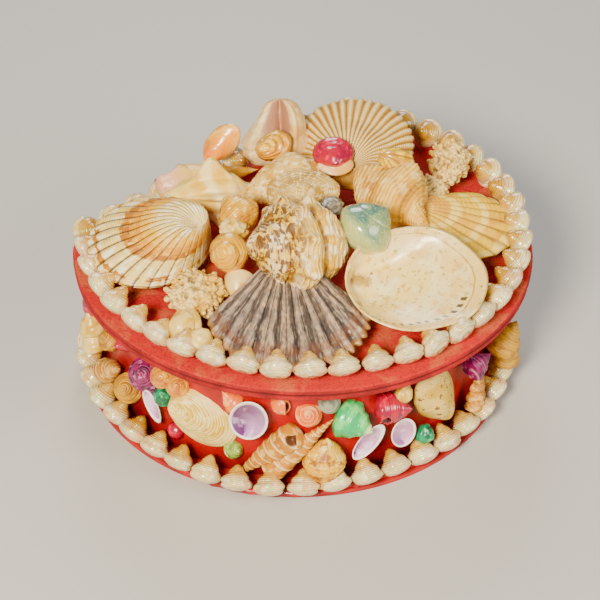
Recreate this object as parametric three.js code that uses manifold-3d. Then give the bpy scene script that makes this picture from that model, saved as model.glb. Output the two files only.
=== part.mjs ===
// Shell box: a low box with a round front and a flat back, its wall, base edge and lift-off lid covered in
// sea shells. Millimetres, +Z up. The origin is on the floor at the centre of the round front, and the flat
// back faces +Y. The shells are composed for a viewer standing SHOW_TURN round from square on to the front,
// so their places are given in that turned frame: x to the viewer's right, y away, z up from the floor.
import * as THREE from 'three';
import { mergeVertices } from 'three/addons/utils/BufferGeometryUtils.js';
import Module from 'manifold-3d';

const wasm = await Module();
wasm.setup();

const DEG = Math.PI / 180;
const UP = new THREE.Vector3(0, 0, 1);
const SHOW_TURN = 41 * DEG;

// ---- Driving dimensions of the box -----------------------------------------------------------------------
const GAP = 0.3;                 // clearance kept between pieces that touch
const CUT_GAP = 0.35;            // how far a piece is grown before it is cut from its neighbour
const MIN_SHARE = 0.35;          // caps how far a sharp point moves when its shell is grown by that gap
const BOX_HEIGHT = 56;           // floor to the top of the lid panel
const BOARD = 3;                 // thickness of the wall
const LID_BOARD = 5;             // thickness of the lid with its velvet edge
const LID_RADIUS = 93;
const LID_FLAT = 59.5;           // centre to the lid's flat back edge
const BASE_INSET = 5;            // lid edge to base edge
const BASE_BOARD = 1.6;          // thin card under the box
const BASE_SHIFT = [-2.5, -3.5]; // the loose lid sits this far off the base's centre, in the turned frame
const WALL_INSET = 14.5;         // lid edge to the outside of the wall
const CORNER = 6;                // radius where the round front meets the flat back
const ARC_STEPS = 20;            // straight steps in the round front
const ROW_STEPS = 400;           // the same, to space the pearl rows along it
const CORNER_STEPS = 3;

// ---- Driving dimensions of the pearl rows: small top shells side by side, points inward and up -----------
const PEARLS_PER_ROW = 42;
const PEARL_LENGTH = 12;
const PEARL_START = 190.1;       // bearing of the first pearl at the left end of the front, turned frame
const LID_ROW = { inset: 4, z: BOX_HEIGHT + 5.6, lean: 35 };
const BASE_ROW = { inset: 5, z: 6.5, lean: 45 };
const OVERHANG = { out: 4, bearing: -100, spread: 22 };   // the base row's front pearls hang out over the edge

// ---- Outlines --------------------------------------------------------------------------------------------

// The box's plan: a circle cut by a straight back, with small round corners where they meet.
function planOutline(inset, arcSteps = ARC_STEPS) {
  const radius = LID_RADIUS - inset;
  const flat = LID_FLAT - inset;
  const corner = Math.max(CORNER - inset / 2, 1);
  const cornerX = Math.sqrt((radius - corner) ** 2 - (flat - corner) ** 2);
  const join = Math.atan2(flat - corner, cornerX);
  const points = [];
  const addArc = (cx, cy, r, from, to, steps) => {
    for (let i = 0; i <= steps; i += 1) {
      const angle = from + (to - from) * i / steps;
      points.push(new THREE.Vector2(cx + r * Math.cos(angle), cy + r * Math.sin(angle)));
    }
  };
  addArc(-cornerX, flat - corner, corner, Math.PI / 2, Math.PI - join, CORNER_STEPS);
  addArc(0, 0, radius, Math.PI - join + 0.05, 2 * Math.PI + join - 0.05, arcSteps);
  addArc(cornerX, flat - corner, corner, join, Math.PI / 2, CORNER_STEPS);
  return points;
}

function board(inset, thickness) {
  const shape = new THREE.Shape(planOutline(inset));
  return new THREE.ExtrudeGeometry(shape, { depth: thickness, bevelEnabled: false });
}

function wall(inset, thickness, height) {
  const shape = new THREE.Shape(planOutline(inset));
  shape.holes.push(new THREE.Path(planOutline(inset + thickness)));
  return new THREE.ExtrudeGeometry(shape, { depth: height, bevelEnabled: false });
}

// ---- Shell forms -----------------------------------------------------------------------------------------

// A closed surface from one end point, through rings of equally many points, to the other end point.
function ringSolid(start, rings, end) {
  const sides = rings[0].length;
  const points = [start, ...rings.flat(), end];
  const last = points.length - 1;
  const faces = [];
  for (let j = 0; j < sides; j += 1) {
    const k = (j + 1) % sides;
    faces.push(0, 1 + j, 1 + k);
    for (let i = 0; i + 1 < rings.length; i += 1) {
      const a = 1 + i * sides;
      const b = a + sides;
      faces.push(a + j, b + j, b + k, a + j, b + k, a + k);
    }
    const c = last - sides;
    faces.push(last, c + k, c + j);
  }
  let volume = 0;
  for (let i = 0; i < faces.length; i += 3) {
    const [p, q, r] = [points[faces[i]], points[faces[i + 1]], points[faces[i + 2]]];
    volume += p.dot(new THREE.Vector3().crossVectors(q, r));
  }
  if (volume < 0) faces.reverse();
  const geometry = new THREE.BufferGeometry();
  geometry.setFromPoints(points);
  geometry.setIndex(faces);
  return geometry;
}

function between(points, t) {
  let i = 0;
  while (i + 2 < points.length && points[i + 1][0] < t) i += 1;
  const [[t0, r0], [t1, r1]] = [points[i], points[i + 1]];
  return r0 + (r1 - r0) * Math.min(Math.max((t - t0) / (t1 - t0), 0), 1);
}

// Outlines of the spiral shells, from the point (0) to the far end (1), as shares of half the width.
const PROFILES = {
  top: [[0, 0], [0.74, 0.94], [0.86, 1], [0.97, 0.7], [1, 0]],
  turban: [[0, 0], [0.12, 0.28], [0.4, 0.72], [0.68, 1], [0.88, 0.82], [1, 0]],
  moon: [[0, 0], [0.1, 0.36], [0.34, 0.82], [0.58, 1], [0.84, 0.76], [1, 0]],
  turret: [[0, 0], [0.06, 0.1], [0.9, 0.96], [0.96, 0.94], [1, 0]],
  whelk: [[0, 0], [0.14, 0.22], [0.36, 0.6], [0.52, 1], [0.68, 0.86], [0.86, 0.42], [0.97, 0.24], [1, 0]],
  conch: [[0, 0], [0.12, 0.2], [0.28, 0.42], [0.4, 0.86], [0.56, 1], [0.78, 0.86], [0.94, 0.5], [1, 0]],
  horn: [[0, 0], [0.15, 0.26], [0.5, 0.72], [0.76, 1], [0.95, 0.84], [1, 0]],
  murex: [[0, 0], [0.06, 0.16], [0.22, 0.42], [0.36, 0.96], [0.54, 1], [0.76, 0.74], [0.94, 0.36], [1, 0]],
  nutmeg: [[0, 0], [0.12, 0.3], [0.3, 0.8], [0.5, 1], [0.72, 0.78], [0.84, 0.46], [0.94, 0.6], [1, 0]],
};

const LIP_TURN = 0.2;            // where the open lip lies, as a share of a turn from the face towards +X

// A spiral shell about the Y axis with its point at +Y. The seam between the whorls climbs once round for
// each whorl, and the whorls grow larger away from the point.
function spiralShell({ form, length, width, whorls = 4, pinch = 0.12, knobs = 0, knob = 0, lip = 0,
  sides = 6, rings = 4 }) {
  const profile = PROFILES[form];
  const climb = (t) => whorls * Math.log(1 + 3 * t) / Math.log(4);
  const ring = (t) => {
    const points = [];
    for (let j = 0; j < sides; j += 1) {
      const angle = 2 * Math.PI * j / sides;
      const phase = 2 * Math.PI * climb(t) + angle;
      const body = Math.exp(-(((t - 0.5) / 0.22) ** 2));
      const swell = 1 - pinch * (0.5 + 0.5 * Math.cos(phase));
      const bump = 1 + knob * body * Math.max(0, Math.cos(knobs * angle));
      const grown = (angle / (2 * Math.PI) - LIP_TURN + 1) % 1;
      const flare = 1 + lip * body * (1 - grown) ** 2;
      const r = between(profile, t) * width / 2 * swell * bump * flare / (1 + lip / 2);
      points.push(new THREE.Vector3(r * Math.sin(angle), length * (0.5 - t), r * Math.cos(angle)));
    }
    return points;
  };
  const stack = [];
  for (let i = 1; i < rings; i += 1) stack.push(ring((i / rings) ** 0.85));
  return ringSolid(new THREE.Vector3(0, length / 2, 0), stack, new THREE.Vector3(0, -length / 2, 0));
}

// One valve of a clam, cockle or scallop: a dished shell of true thickness. The beak is at -Y, the open edge
// lies in the plane z = 0 and the back of the shell rises towards +Z. The ribs fan out from the beak. A small
// valve that is stuck down face first is filled with its glue.
function valve({ width, height, depth, thickness = 2, beak = [0, 0.84], ribs = 0, ribDepth = 0, fan = 2,
  ears = 0, columns = 5, rows = 2, dished = false, filled = false }) {
  const beakX = beak[0] * width / 2;
  const beakY = -beak[1] * height / 2;
  const reach = (angle) => {
    if (ears && Math.abs(angle) > fan + 0.01) return ears;
    const [dx, dy] = [Math.sin(angle), Math.cos(angle)];
    const a = (dx * 2 / width) ** 2 + (dy * 2 / height) ** 2;
    const b = 2 * (beakX * dx * 4 / width ** 2 + beakY * dy * 4 / height ** 2);
    const c = (beakX * 2 / width) ** 2 + (beakY * 2 / height) ** 2 - 1;
    return (-b + Math.sqrt(b * b - 4 * a * c)) / (2 * a);
  };
  const point = (angle, v, inner) => {
    const inside = inner ? thickness : 0;
    const turn = Math.abs(angle) < fan ? Math.cos(angle * Math.PI / 2 / fan) ** 0.5 : 0;
    const wave = ribs ? Math.cos(angle * ribs * Math.PI / fan) * turn * v : 0;
    const r = (reach(angle) - inside * 0.7) * v;
    const dome = (depth - inside) * (1 - v ** 2.2) ** 0.8 * (0.82 + 0.18 * Math.sin(Math.PI * Math.min(v * 1.6, 1)));
    const lift = inner ? 0 : wave * ribDepth;
    return new THREE.Vector3(beakX + r * Math.sin(angle), beakY + r * Math.cos(angle),
      dome + lift * (1 - v ** 6));
  };
  const across = ribs ? 2 * ribs : columns;
  const angles = [];
  for (let j = 0; j <= across; j += 1) angles.push(fan * (2 * j / across - 1));
  for (let j = 1; j <= 3; j += 1) angles.push(fan + (2 * Math.PI - 2 * fan) * j / 4);
  const stack = [];
  for (let i = 1; i <= rows; i += 1) stack.push(angles.map((a) => point(a, (i / rows) ** 0.8, false)));
  if (filled) return ringSolid(point(0, 0, false), stack, new THREE.Vector3(0, 0, 0));
  for (const v of dished ? [1, 0.6] : [1]) stack.push(angles.map((a) => point(a, v, true)));
  return ringSolid(point(0, 0, false), stack, point(0, 0, true));
}

// A lump of coral or a water-worn chip: a ball drawn out along its axes and roughened.
function lump({ size, rough = 0.2, detail = 1, waves = 3 }) {
  const geometry = mergeVertices(new THREE.IcosahedronGeometry(0.5, detail).deleteAttribute('normal')
    .deleteAttribute('uv'));
  const place = geometry.getAttribute('position');
  for (let i = 0; i < place.count; i += 1) {
    const p = new THREE.Vector3().fromBufferAttribute(place, i);
    const bump = Math.sin(waves * 7 * p.x + 1) * Math.sin(waves * 6 * p.y + 2) + Math.sin(waves * 9 * p.z + p.x * 5);
    p.multiplyScalar(1 + rough * bump / 2);
    place.setXYZ(i, p.x * size[0], p.y * size[1], p.z * size[2]);
  }
  return geometry;
}

function evenly({ from, to, count }) {
  return Array.from({ length: count }, (unused, i) => from + (to - from) * i / (count - 1));
}

// ---- Seats: where a shell is stuck, and the surface it is stuck to ----------------------------------------

function onLid(x, y, z) {
  return {
    at: new THREE.Vector3(x, y, BOX_HEIGHT + z),
    right: new THREE.Vector3(1, 0, 0),
    up: new THREE.Vector3(0, 1, 0),
    out: new THREE.Vector3(0, 0, 1),
  };
}

// A seat on the round wall, at a bearing in the turned frame, a height and a distance from the centre.
function onWall(bearing, z, radius = 86) {
  const angle = bearing * DEG;
  return {
    at: new THREE.Vector3(radius * Math.cos(angle), radius * Math.sin(angle), z),
    right: new THREE.Vector3(-Math.sin(angle), Math.cos(angle), 0),
    up: new THREE.Vector3(0, 0, 1),
    out: new THREE.Vector3(Math.cos(angle), Math.sin(angle), 0),
  };
}

// A seat on the flat back wall, by the distance along it (to the right, seen from behind) and the height.
function onBack(along, z, depth) {
  const [out, right] = [new THREE.Vector3(0, 1, 0), new THREE.Vector3(-1, 0, 0)];
  for (const v of [out, right]) v.applyAxisAngle(UP, SHOW_TURN);
  const at = right.clone().multiplyScalar(along).addScaledVector(out, LID_FLAT - WALL_INSET + depth);
  return { at: at.setZ(z), right, up: new THREE.Vector3(0, 0, 1), out };
}

// The shell's Y axis points along `turn` degrees from the seat's right, tipped out by `lean`; its Z axis
// faces out of the seat as nearly as it can, then rolls about Y.
function placement({ seat, turn = 0, lean = 0, roll = 0 }) {
  const [a, e, r] = [turn * DEG, lean * DEG, roll * DEG];
  const ahead = seat.right.clone().multiplyScalar(Math.cos(a) * Math.cos(e))
    .addScaledVector(seat.up, Math.sin(a) * Math.cos(e))
    .addScaledVector(seat.out, Math.sin(e));
  const reference = Math.abs(e) > 80 * DEG ? seat.up : seat.out;
  const face = reference.clone().addScaledVector(ahead, -reference.dot(ahead)).normalize();
  face.applyAxisAngle(ahead, r);
  const side = new THREE.Vector3().crossVectors(ahead, face);
  return new THREE.Matrix4().makeBasis(side, ahead, face).setPosition(seat.at);
}

// ---- The shells of the lid, then those of the round wall --------------------------------------------------

const LID_SHELLS = [
  { name: 'scallop_grey', colour: 0x8c8078, seat: onLid(-5, -60, 8.5), turn: 274, lean: -3,
    valve: { width: 62, height: 58, depth: 9, beak: [0, 0.97], ribs: 12, ribDepth: 1.4, fan: 0.84, ears: 9 } },
  { name: 'clam_ivory', colour: 0xe6d9b8, seat: onLid(44, -48, 18.5), turn: 4, roll: -158,
    valve: { width: 49, height: 56, depth: 12, thickness: 2.4, beak: [0.25, 0.86], columns: 14, fan: 2.4,
      rows: 3, dished: true } },
  { name: 'cockle_left', colour: 0xe9cf9d, seat: onLid(-61, -15, 9.5), turn: 168, lean: 2, roll: -4,
    valve: { width: 54, height: 49, depth: 18, ribs: 15, ribDepth: 0.9, rows: 3 } },
  { name: 'cockle_back', colour: 0xd9bd92, seat: onLid(21, 45, 17), turn: 82, lean: 22,
    valve: { width: 50, height: 48, depth: 15, ribs: 15, ribDepth: 0.9, rows: 3 } },
  { name: 'scallop_cream', colour: 0xe2cc97, seat: onLid(64, 3, 6.5), turn: -9, roll: -4,
    valve: { width: 52, height: 46, depth: 7, beak: [0, 0.97], ribs: 7, ribDepth: 1.4, fan: 0.84, ears: 8 } },
  { name: 'murex_centre', colour: 0xcdb183, seat: onLid(-2, -35, 24), turn: 207, lean: 18, roll: 150,
    spiral: { form: 'murex', length: 46, width: 37, whorls: 3, pinch: 0.16, knobs: 7, knob: 0.12, lip: 0.15,
      sides: 12, rings: 9 } },
  { name: 'murex_back', colour: 0xd8b27c, seat: onLid(36, 4, 18), turn: -44, lean: -12, roll: 150,
    spiral: { form: 'murex', length: 40, width: 32, whorls: 4, pinch: 0.12, lip: 0.1, sides: 10, rings: 7 } },
  { name: 'moon_snail_green', colour: 0x8fa08a, seat: onLid(25, -26, 27), turn: 20, lean: 40,
    spiral: { form: 'moon', length: 21, width: 23, whorls: 2, sides: 8, rings: 6 } },
  { name: 'whelk_long', colour: 0xdcc6a6, seat: onLid(-40, 29, 10), turn: 19,
    spiral: { form: 'horn', length: 45, width: 16, whorls: 5, sides: 7, rings: 7 } },
  { name: 'whelk_sandy', colour: 0xcdb390, seat: onLid(-3, 18, 18), turn: 31,
    spiral: { form: 'whelk', length: 52, width: 24, whorls: 5, sides: 7, rings: 7 } },
  { name: 'cockle_small', colour: 0xd9c19a, seat: onLid(0, 1, 24), turn: 80, lean: 15,
    valve: { width: 30, height: 26, depth: 9, ribs: 10, ribDepth: 0.5 } },
  { name: 'conch_upright', colour: 0xdcc2a0, seat: onLid(-9, 43, 17), turn: 280, lean: -68, roll: 20,
    spiral: { form: 'conch', length: 40, width: 31, whorls: 4, lip: 0.7, sides: 10, rings: 7 } },
  { name: 'conch_spiky', colour: 0xe8cf98, seat: onLid(-35, 9, 16), turn: 8,
    spiral: { form: 'murex', length: 44, width: 22, whorls: 3, knobs: 5, knob: 0.35, sides: 10, rings: 6 } },
  { name: 'slipper_pink', colour: 0xe9b58a, seat: onLid(-34, 41, 20), turn: 0, lean: 50, roll: 75,
    valve: { width: 13, height: 21, depth: 6, columns: 7, filled: true } },
  { name: 'jingle_amber', colour: 0xd9a55a, seat: onLid(-12, 30, 26), turn: 20, lean: 12, roll: 45,
    valve: { width: 13, height: 17, depth: 5, columns: 7, filled: true } },
  { fused: 'clam_magenta_pair', colour: 0xe0206a, seat: onLid(12, 25, 26), turn: 270, lean: -20,
    valve: { width: 17, height: 13, depth: 5, columns: 7, filled: true } },
  { fused: 'clam_magenta_pair', colour: 0xd8b9a0, seat: onLid(13, 20.5, 23.5), turn: 270, lean: -20,
    valve: { width: 15, height: 11, depth: 3, filled: true } },
  { name: 'valve_gold', colour: 0xd2a733, seat: onLid(37, 12, 32), turn: -20, lean: -10, roll: 160,
    valve: { width: 11, height: 15, depth: 4, thickness: 1.2 } },
  { name: 'chip_grey', colour: 0x9c9486, seat: onLid(11, -13, 27), lump: { size: [12, 9, 3], detail: 0 } },
  { fused: 'coral_back', colour: 0xd0bd96, seat: onLid(61, 40, 11), lump: { size: [27, 20, 21], rough: 0.3 } },
  { name: 'coral_front', colour: 0xc9b795, seat: onLid(-41, -46, 8), lump: { size: [29, 24, 16], rough: 0.3 } },
  { name: 'snail_amber', colour: 0xd9a055, seat: onLid(-29, -36, 21), turn: 250, lean: 30,
    spiral: { form: 'moon', length: 16, width: 16, whorls: 2, sides: 7, rings: 5 } },
  { fused: 'snail_and_pebble', colour: 0xcf9148, seat: onLid(-26, -13, 23), turn: 140, lean: 30,
    spiral: { form: 'moon', length: 17, width: 17, whorls: 2, sides: 7, rings: 5 } },
  { fused: 'snails_cream', colour: 0xe7d6a8, seat: onLid(-45, -65, 7), turn: 200, lean: 30,
    spiral: { form: 'moon', length: 13, width: 16, whorls: 2, sides: 7, rings: 5 } },
  { fused: 'snails_cream', colour: 0xe7d6a8, seat: onLid(-38, -72, 7), turn: 30, lean: 50,
    spiral: { form: 'moon', length: 10, width: 12, whorls: 2 } },
  { fused: 'coral_back', colour: 0xd0bd96, seat: onLid(53, 27, 7), lump: { size: [18, 15, 11], detail: 0 } },
  { name: 'cone_white', colour: 0xe9ddc2, seat: onLid(-25, -44, 9), turn: 262, lean: -10,
    spiral: { form: 'top', length: 14, width: 13, whorls: 2 } },
  { fused: 'snail_and_pebble', colour: 0xe6d9bd, seat: onLid(-27, -22.5, 22), lump: { size: [12, 11, 9], detail: 0 } },
];

const WALL_SHELLS = [
  { fused: 'shells_left_end', colour: 0xe21d5c, seat: onWall(-170, 36, 87), turn: 70, lean: 20,
    spiral: { form: 'top', length: 13, width: 11 } },
  { fused: 'shells_left_end', colour: 0xd9c07a, seat: onWall(-169, 26.5, 88), turn: 90, lean: 10,
    spiral: { form: 'top', length: 12, width: 12 } },
  { fused: 'shells_left_end', colour: 0xe0d2b4, seat: onWall(-167, 19.5, 88), turn: 90, lean: 10,
    spiral: { form: 'top', length: 10, width: 11 } },
  { name: 'snail_open_brown', colour: 0xc09a68, seat: onWall(-156, 31, 85), turn: 80, lean: 30,
    spiral: { form: 'moon', length: 11, width: 9 } },
  { name: 'trochus_pink_small', colour: 0xd8355f, seat: onWall(-147, 39, 85), turn: 0, lean: 80,
    spiral: { form: 'top', length: 7, width: 9 } },
  { name: 'whelk_tan', colour: 0xd2a878, seat: onWall(-151, 22, 87), turn: 40, lean: 0,
    spiral: { form: 'turret', length: 23, width: 11, rings: 6 } },
  { name: 'trochus_purple', colour: 0x93506e, seat: onWall(-136.6, 34, 85), turn: 200, lean: 65,
    spiral: { form: 'top', length: 10, width: 14, sides: 8 } },
  { fused: 'snails_orange', colour: 0xd48b50, seat: onWall(-129.3, 39, 85), turn: 0, lean: 60,
    spiral: { form: 'moon', length: 8.5, width: 10 } },
  { fused: 'snails_orange', colour: 0xcf8a4c, seat: onWall(-124, 38.5, 85), turn: 0, lean: 60,
    spiral: { form: 'moon', length: 8.5, width: 10 } },
  { name: 'snail_green_dark', colour: 0x4e8a68, seat: onWall(-129.1, 29, 85), turn: 0, lean: 80,
    spiral: { form: 'moon', length: 7, width: 8.5 } },
  { name: 'trochus_tan', colour: 0xcfa368, seat: onWall(-143.8, 20, 86), turn: 0, lean: 70,
    spiral: { form: 'turban', length: 10, width: 13, sides: 8 } },
  { name: 'valve_lilac_left', colour: 0xb79ab8, seat: onWall(-132.4, 22, 87), turn: -60, roll: 180,
    valve: { width: 8, height: 15, depth: 3.5, thickness: 1 } },
  { name: 'bead_magenta', colour: 0xd8207c, seat: onWall(-126, 13, 84), lump: { size: [7, 7, 6], detail: 0 } },
  { name: 'clam_ridged', colour: 0xded0a6, seat: onWall(-117.2, 25.5, 82), turn: -25,
    valve: { width: 25, height: 30, depth: 8, columns: 9, rows: 3, filled: true } },
  { name: 'cone_pink', colour: 0xd9977c, seat: onWall(-109, 40.5, 84), turn: 130, lean: 10,
    spiral: { form: 'top', length: 9, width: 9 } },
  { name: 'valve_purple', colour: 0x9c82a6, seat: onWall(-103, 35.5, 89), turn: 75, roll: 180,
    valve: { width: 15, height: 20, depth: 5, thickness: 1.2, columns: 7 } },
  { name: 'trochus_pink_hole', colour: 0xd98a7c, seat: onWall(-95.7, 41, 84), turn: 180, lean: 50,
    spiral: { form: 'moon', length: 7, width: 9 } },
  { name: 'snail_light_green', colour: 0xa4b37c, seat: onWall(-107.6, 14.6, 84), turn: 40, lean: 40,
    spiral: { form: 'turban', length: 9, width: 8.5 } },
  { name: 'turret_left', colour: 0xc99a6a, seat: onWall(-99, 17.5, 87), turn: -133,
    spiral: { form: 'turret', length: 36, width: 11.5, whorls: 9, pinch: 0.12, rings: 9 } },
  { name: 'turret_right', colour: 0xc9a070, seat: onWall(-90, 23, 87), turn: 49,
    spiral: { form: 'turret', length: 38, width: 10, whorls: 9, pinch: 0.12, rings: 9 } },
  { name: 'snail_pink', colour: 0xe09a80, seat: onWall(-88.2, 36.5, 84), turn: 0, lean: 75,
    spiral: { form: 'turban', length: 8, width: 10.5 } },
  { name: 'snail_grey', colour: 0x9c9a8e, seat: onWall(-82.8, 42, 84), turn: 0, lean: 75,
    spiral: { form: 'turban', length: 7, width: 9 } },
  { name: 'trochus_green', colour: 0x6fae82, seat: onWall(-76.3, 32.6, 86), turn: -20, lean: 40,
    spiral: { form: 'turban', length: 16, width: 17, whorls: 4, rings: 6, sides: 9 } },
  { fused: 'turban_pink_pair', colour: 0xe21a62, seat: onWall(-65.7, 35, 86), turn: -10, lean: 15,
    spiral: { form: 'turban', length: 15, width: 13, whorls: 4, rings: 5, sides: 8 } },
  { fused: 'turban_pink_pair', colour: 0xd9cdb0, seat: onWall(-62.4, 39.5, 85), turn: 0, lean: 70,
    spiral: { form: 'moon', length: 7, width: 8.5 } },
  { name: 'nutmeg_shell', colour: 0xd3b184, seat: onWall(-84.1, 16, 88), turn: 85, lean: 0,
    spiral: { form: 'nutmeg', length: 24, width: 17, rings: 7, sides: 8 } },
  { name: 'valve_lilac_middle', colour: 0xb79ab8, seat: onWall(-72.5, 21.7, 87), turn: 55, roll: 180,
    valve: { width: 9, height: 19, depth: 3.5, thickness: 1 } },
  { name: 'valve_lilac_right', colour: 0xc4a9c0, seat: onWall(-62.8, 21.7, 87), turn: 100, roll: 180,
    valve: { width: 11, height: 15, depth: 3.5, thickness: 1 } },
  { name: 'snail_teal', colour: 0x4f9a86, seat: onWall(-55.5, 15, 86), turn: 0, lean: 70,
    spiral: { form: 'moon', length: 8, width: 8.5 } },
  { name: 'clam_grey', colour: 0xc9b99a, seat: onWall(-52, 32.5, 83), turn: 110,
    valve: { width: 19, height: 27, depth: 7, columns: 7, filled: true } },
  { name: 'trochus_purple_right', colour: 0x7c4a74, seat: onWall(-34.3, 33, 85), turn: 10, lean: 15,
    spiral: { form: 'top', length: 13, width: 12 } },
  { name: 'turret_worm', colour: 0xb98f68, seat: onWall(-33.9, 20, 85), turn: 75,
    spiral: { form: 'turret', length: 22, width: 8, whorls: 7, pinch: 0.2, rings: 8 } },
  { fused: 'shells_right_end', colour: 0xd2a878, seat: onWall(-17.7, 27.5, 87), turn: 60, lean: 20,
    spiral: { form: 'turban', length: 17, width: 15 } },
  { fused: 'shells_right_end', colour: 0xcfa878, seat: onWall(-14.8, 18.5, 87), turn: 90, lean: 10,
    spiral: { form: 'top', length: 14, width: 13 } },
];

// The hidden sides carry plain fan shells edge to edge, beaks down: round the right, and along the back.
const FAN = { width: 34, height: 29, depth: 7, beak: [0, 0.94], columns: 6, filled: true };
const FAN_Z = 32;
const RIGHT_FANS = { from: 2, to: 76, count: 5 };
const BACK_FANS = { from: -50, to: 50, count: 5 };

const rightFans = evenly(RIGHT_FANS).map((bearing) => onWall(bearing, FAN_Z, LID_RADIUS - WALL_INSET + 1));
const backFans = evenly(BACK_FANS).map((along) => onBack(along, FAN_Z, 1));
for (const { at } of [...rightFans, ...backFans]) at.add(new THREE.Vector3(...BASE_SHIFT, 0));

// ---- Assembly --------------------------------------------------------------------------------------------

function cleaned(geometry) {
  const bare = geometry.clone();
  bare.deleteAttribute('normal');
  bare.deleteAttribute('uv');
  return mergeVertices(bare);
}

function solidOf(geometry, matrix) {
  const placed = cleaned(geometry).applyMatrix4(matrix);
  const vertProperties = Float32Array.from(placed.getAttribute('position').array);
  const triVerts = Uint32Array.from(placed.index.array);
  return new wasm.Manifold(new wasm.Mesh({ numProp: 3, vertProperties, triVerts }));
}

function geometryOf(solid, matrix) {
  const { vertProperties, triVerts } = solid.getMesh();
  const geometry = new THREE.BufferGeometry();
  geometry.setAttribute('position', new THREE.BufferAttribute(Float32Array.from(vertProperties), 3));
  geometry.setIndex(new THREE.BufferAttribute(Uint32Array.from(triVerts), 1));
  geometry.applyMatrix4(matrix.clone().invert());
  return geometry;
}

// The same surface with every face moved outward by CUT_GAP or a little more, to cut room for this piece
// from its neighbours. At a sharp point the faces lean away from the point's own normal, so it moves further.
function grown(geometry) {
  const wide = cleaned(geometry);
  wide.computeVertexNormals();
  const [place, normal] = [wide.getAttribute('position'), wide.getAttribute('normal')];
  const shares = new Array(place.count).fill(1);
  const triangle = new THREE.Triangle();
  const faceNormal = new THREE.Vector3();
  for (let i = 0; i < wide.index.count; i += 3) {
    const corners = [0, 1, 2].map((c) => wide.index.getX(i + c));
    triangle.setFromAttributeAndIndices(place, ...corners);
    triangle.getNormal(faceNormal);
    for (const c of corners) {
      const share = faceNormal.dot(new THREE.Vector3().fromBufferAttribute(normal, c));
      shares[c] = Math.min(shares[c], share);
    }
  }
  for (let i = 0; i < place.count; i += 1) {
    const move = CUT_GAP / Math.max(shares[i], MIN_SHARE);
    place.setXYZ(i, place.getX(i) + move * normal.getX(i), place.getY(i) + move * normal.getY(i),
      place.getZ(i) + move * normal.getZ(i));
  }
  return wide;
}

function shapeOf(entry) {
  if (entry.spiral) return spiralShell(entry.spiral);
  if (entry.valve) return valve(entry.valve);
  return lump(entry.lump);
}

function largest(solid) {
  return solid.decompose().sort((a, b) => b.volume() - a.volume())[0];
}

const box = new THREE.Group();
const turned = new THREE.Group();
turned.rotation.z = -SHOW_TURN;
box.add(turned);
const settled = [];              // the room that finished pieces need, in the turned frame

function addPiece(name, colour, roughness, geometry, matrix, parent) {
  const material = new THREE.MeshStandardMaterial({ color: colour, roughness, metalness: 0 });
  const mesh = new THREE.Mesh(geometry, material);
  mesh.name = name;
  mesh.applyMatrix4(matrix);
  parent.add(mesh);
}

function addPanel(name, colour, geometry, shift, z) {
  const offset = new THREE.Vector3(shift[0], shift[1], z).applyAxisAngle(UP, -SHOW_TURN);
  const matrix = new THREE.Matrix4().setPosition(offset);
  addPiece(name, colour, 0.9, geometry, matrix, box);
  const inTurned = new THREE.Matrix4().makeRotationZ(SHOW_TURN).multiply(matrix);
  settle(geometry, inTurned);
}

// Seats evenly spaced round the plan outline at an inset, starting from the bearing PEARL_START. Each is moved
// by what `shift` gives for its outward direction.
function rowSeats({ inset, z }, shift) {
  const outline = planOutline(inset, ROW_STEPS);
  const closed = [...outline, outline[0]];
  const lengths = [0];
  for (let i = 1; i < closed.length; i += 1) lengths.push(lengths[i - 1] + closed[i].distanceTo(closed[i - 1]));
  const total = lengths[lengths.length - 1];
  const startAngle = PEARL_START * DEG - SHOW_TURN;
  const turnFromStart = (p) => Math.abs(Math.atan2(Math.sin(p.angle() - startAngle), Math.cos(p.angle() - startAngle)));
  const turns = outline.map(turnFromStart);
  const start = lengths[turns.indexOf(Math.min(...turns))];
  const seats = [];
  for (let k = 0; k < PEARLS_PER_ROW; k += 1) {
    const along = (start + k * total / PEARLS_PER_ROW) % total;
    const i = lengths.findIndex((length) => length > along);
    const step = closed[i].clone().sub(closed[i - 1]).normalize();
    const place = closed[i - 1].clone().addScaledVector(step, along - lengths[i - 1]);
    const out = new THREE.Vector3(step.y, -step.x, 0).applyAxisAngle(UP, SHOW_TURN);
    const at = new THREE.Vector3(place.x, place.y, z).applyAxisAngle(UP, SHOW_TURN);
    at.add(new THREE.Vector3(...shift(new THREE.Vector2(out.x, out.y)), 0));
    seats.push({ at, right: out.clone().negate(), up: new THREE.Vector3().crossVectors(UP, out), out: UP });
  }
  return seats;
}

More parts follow.
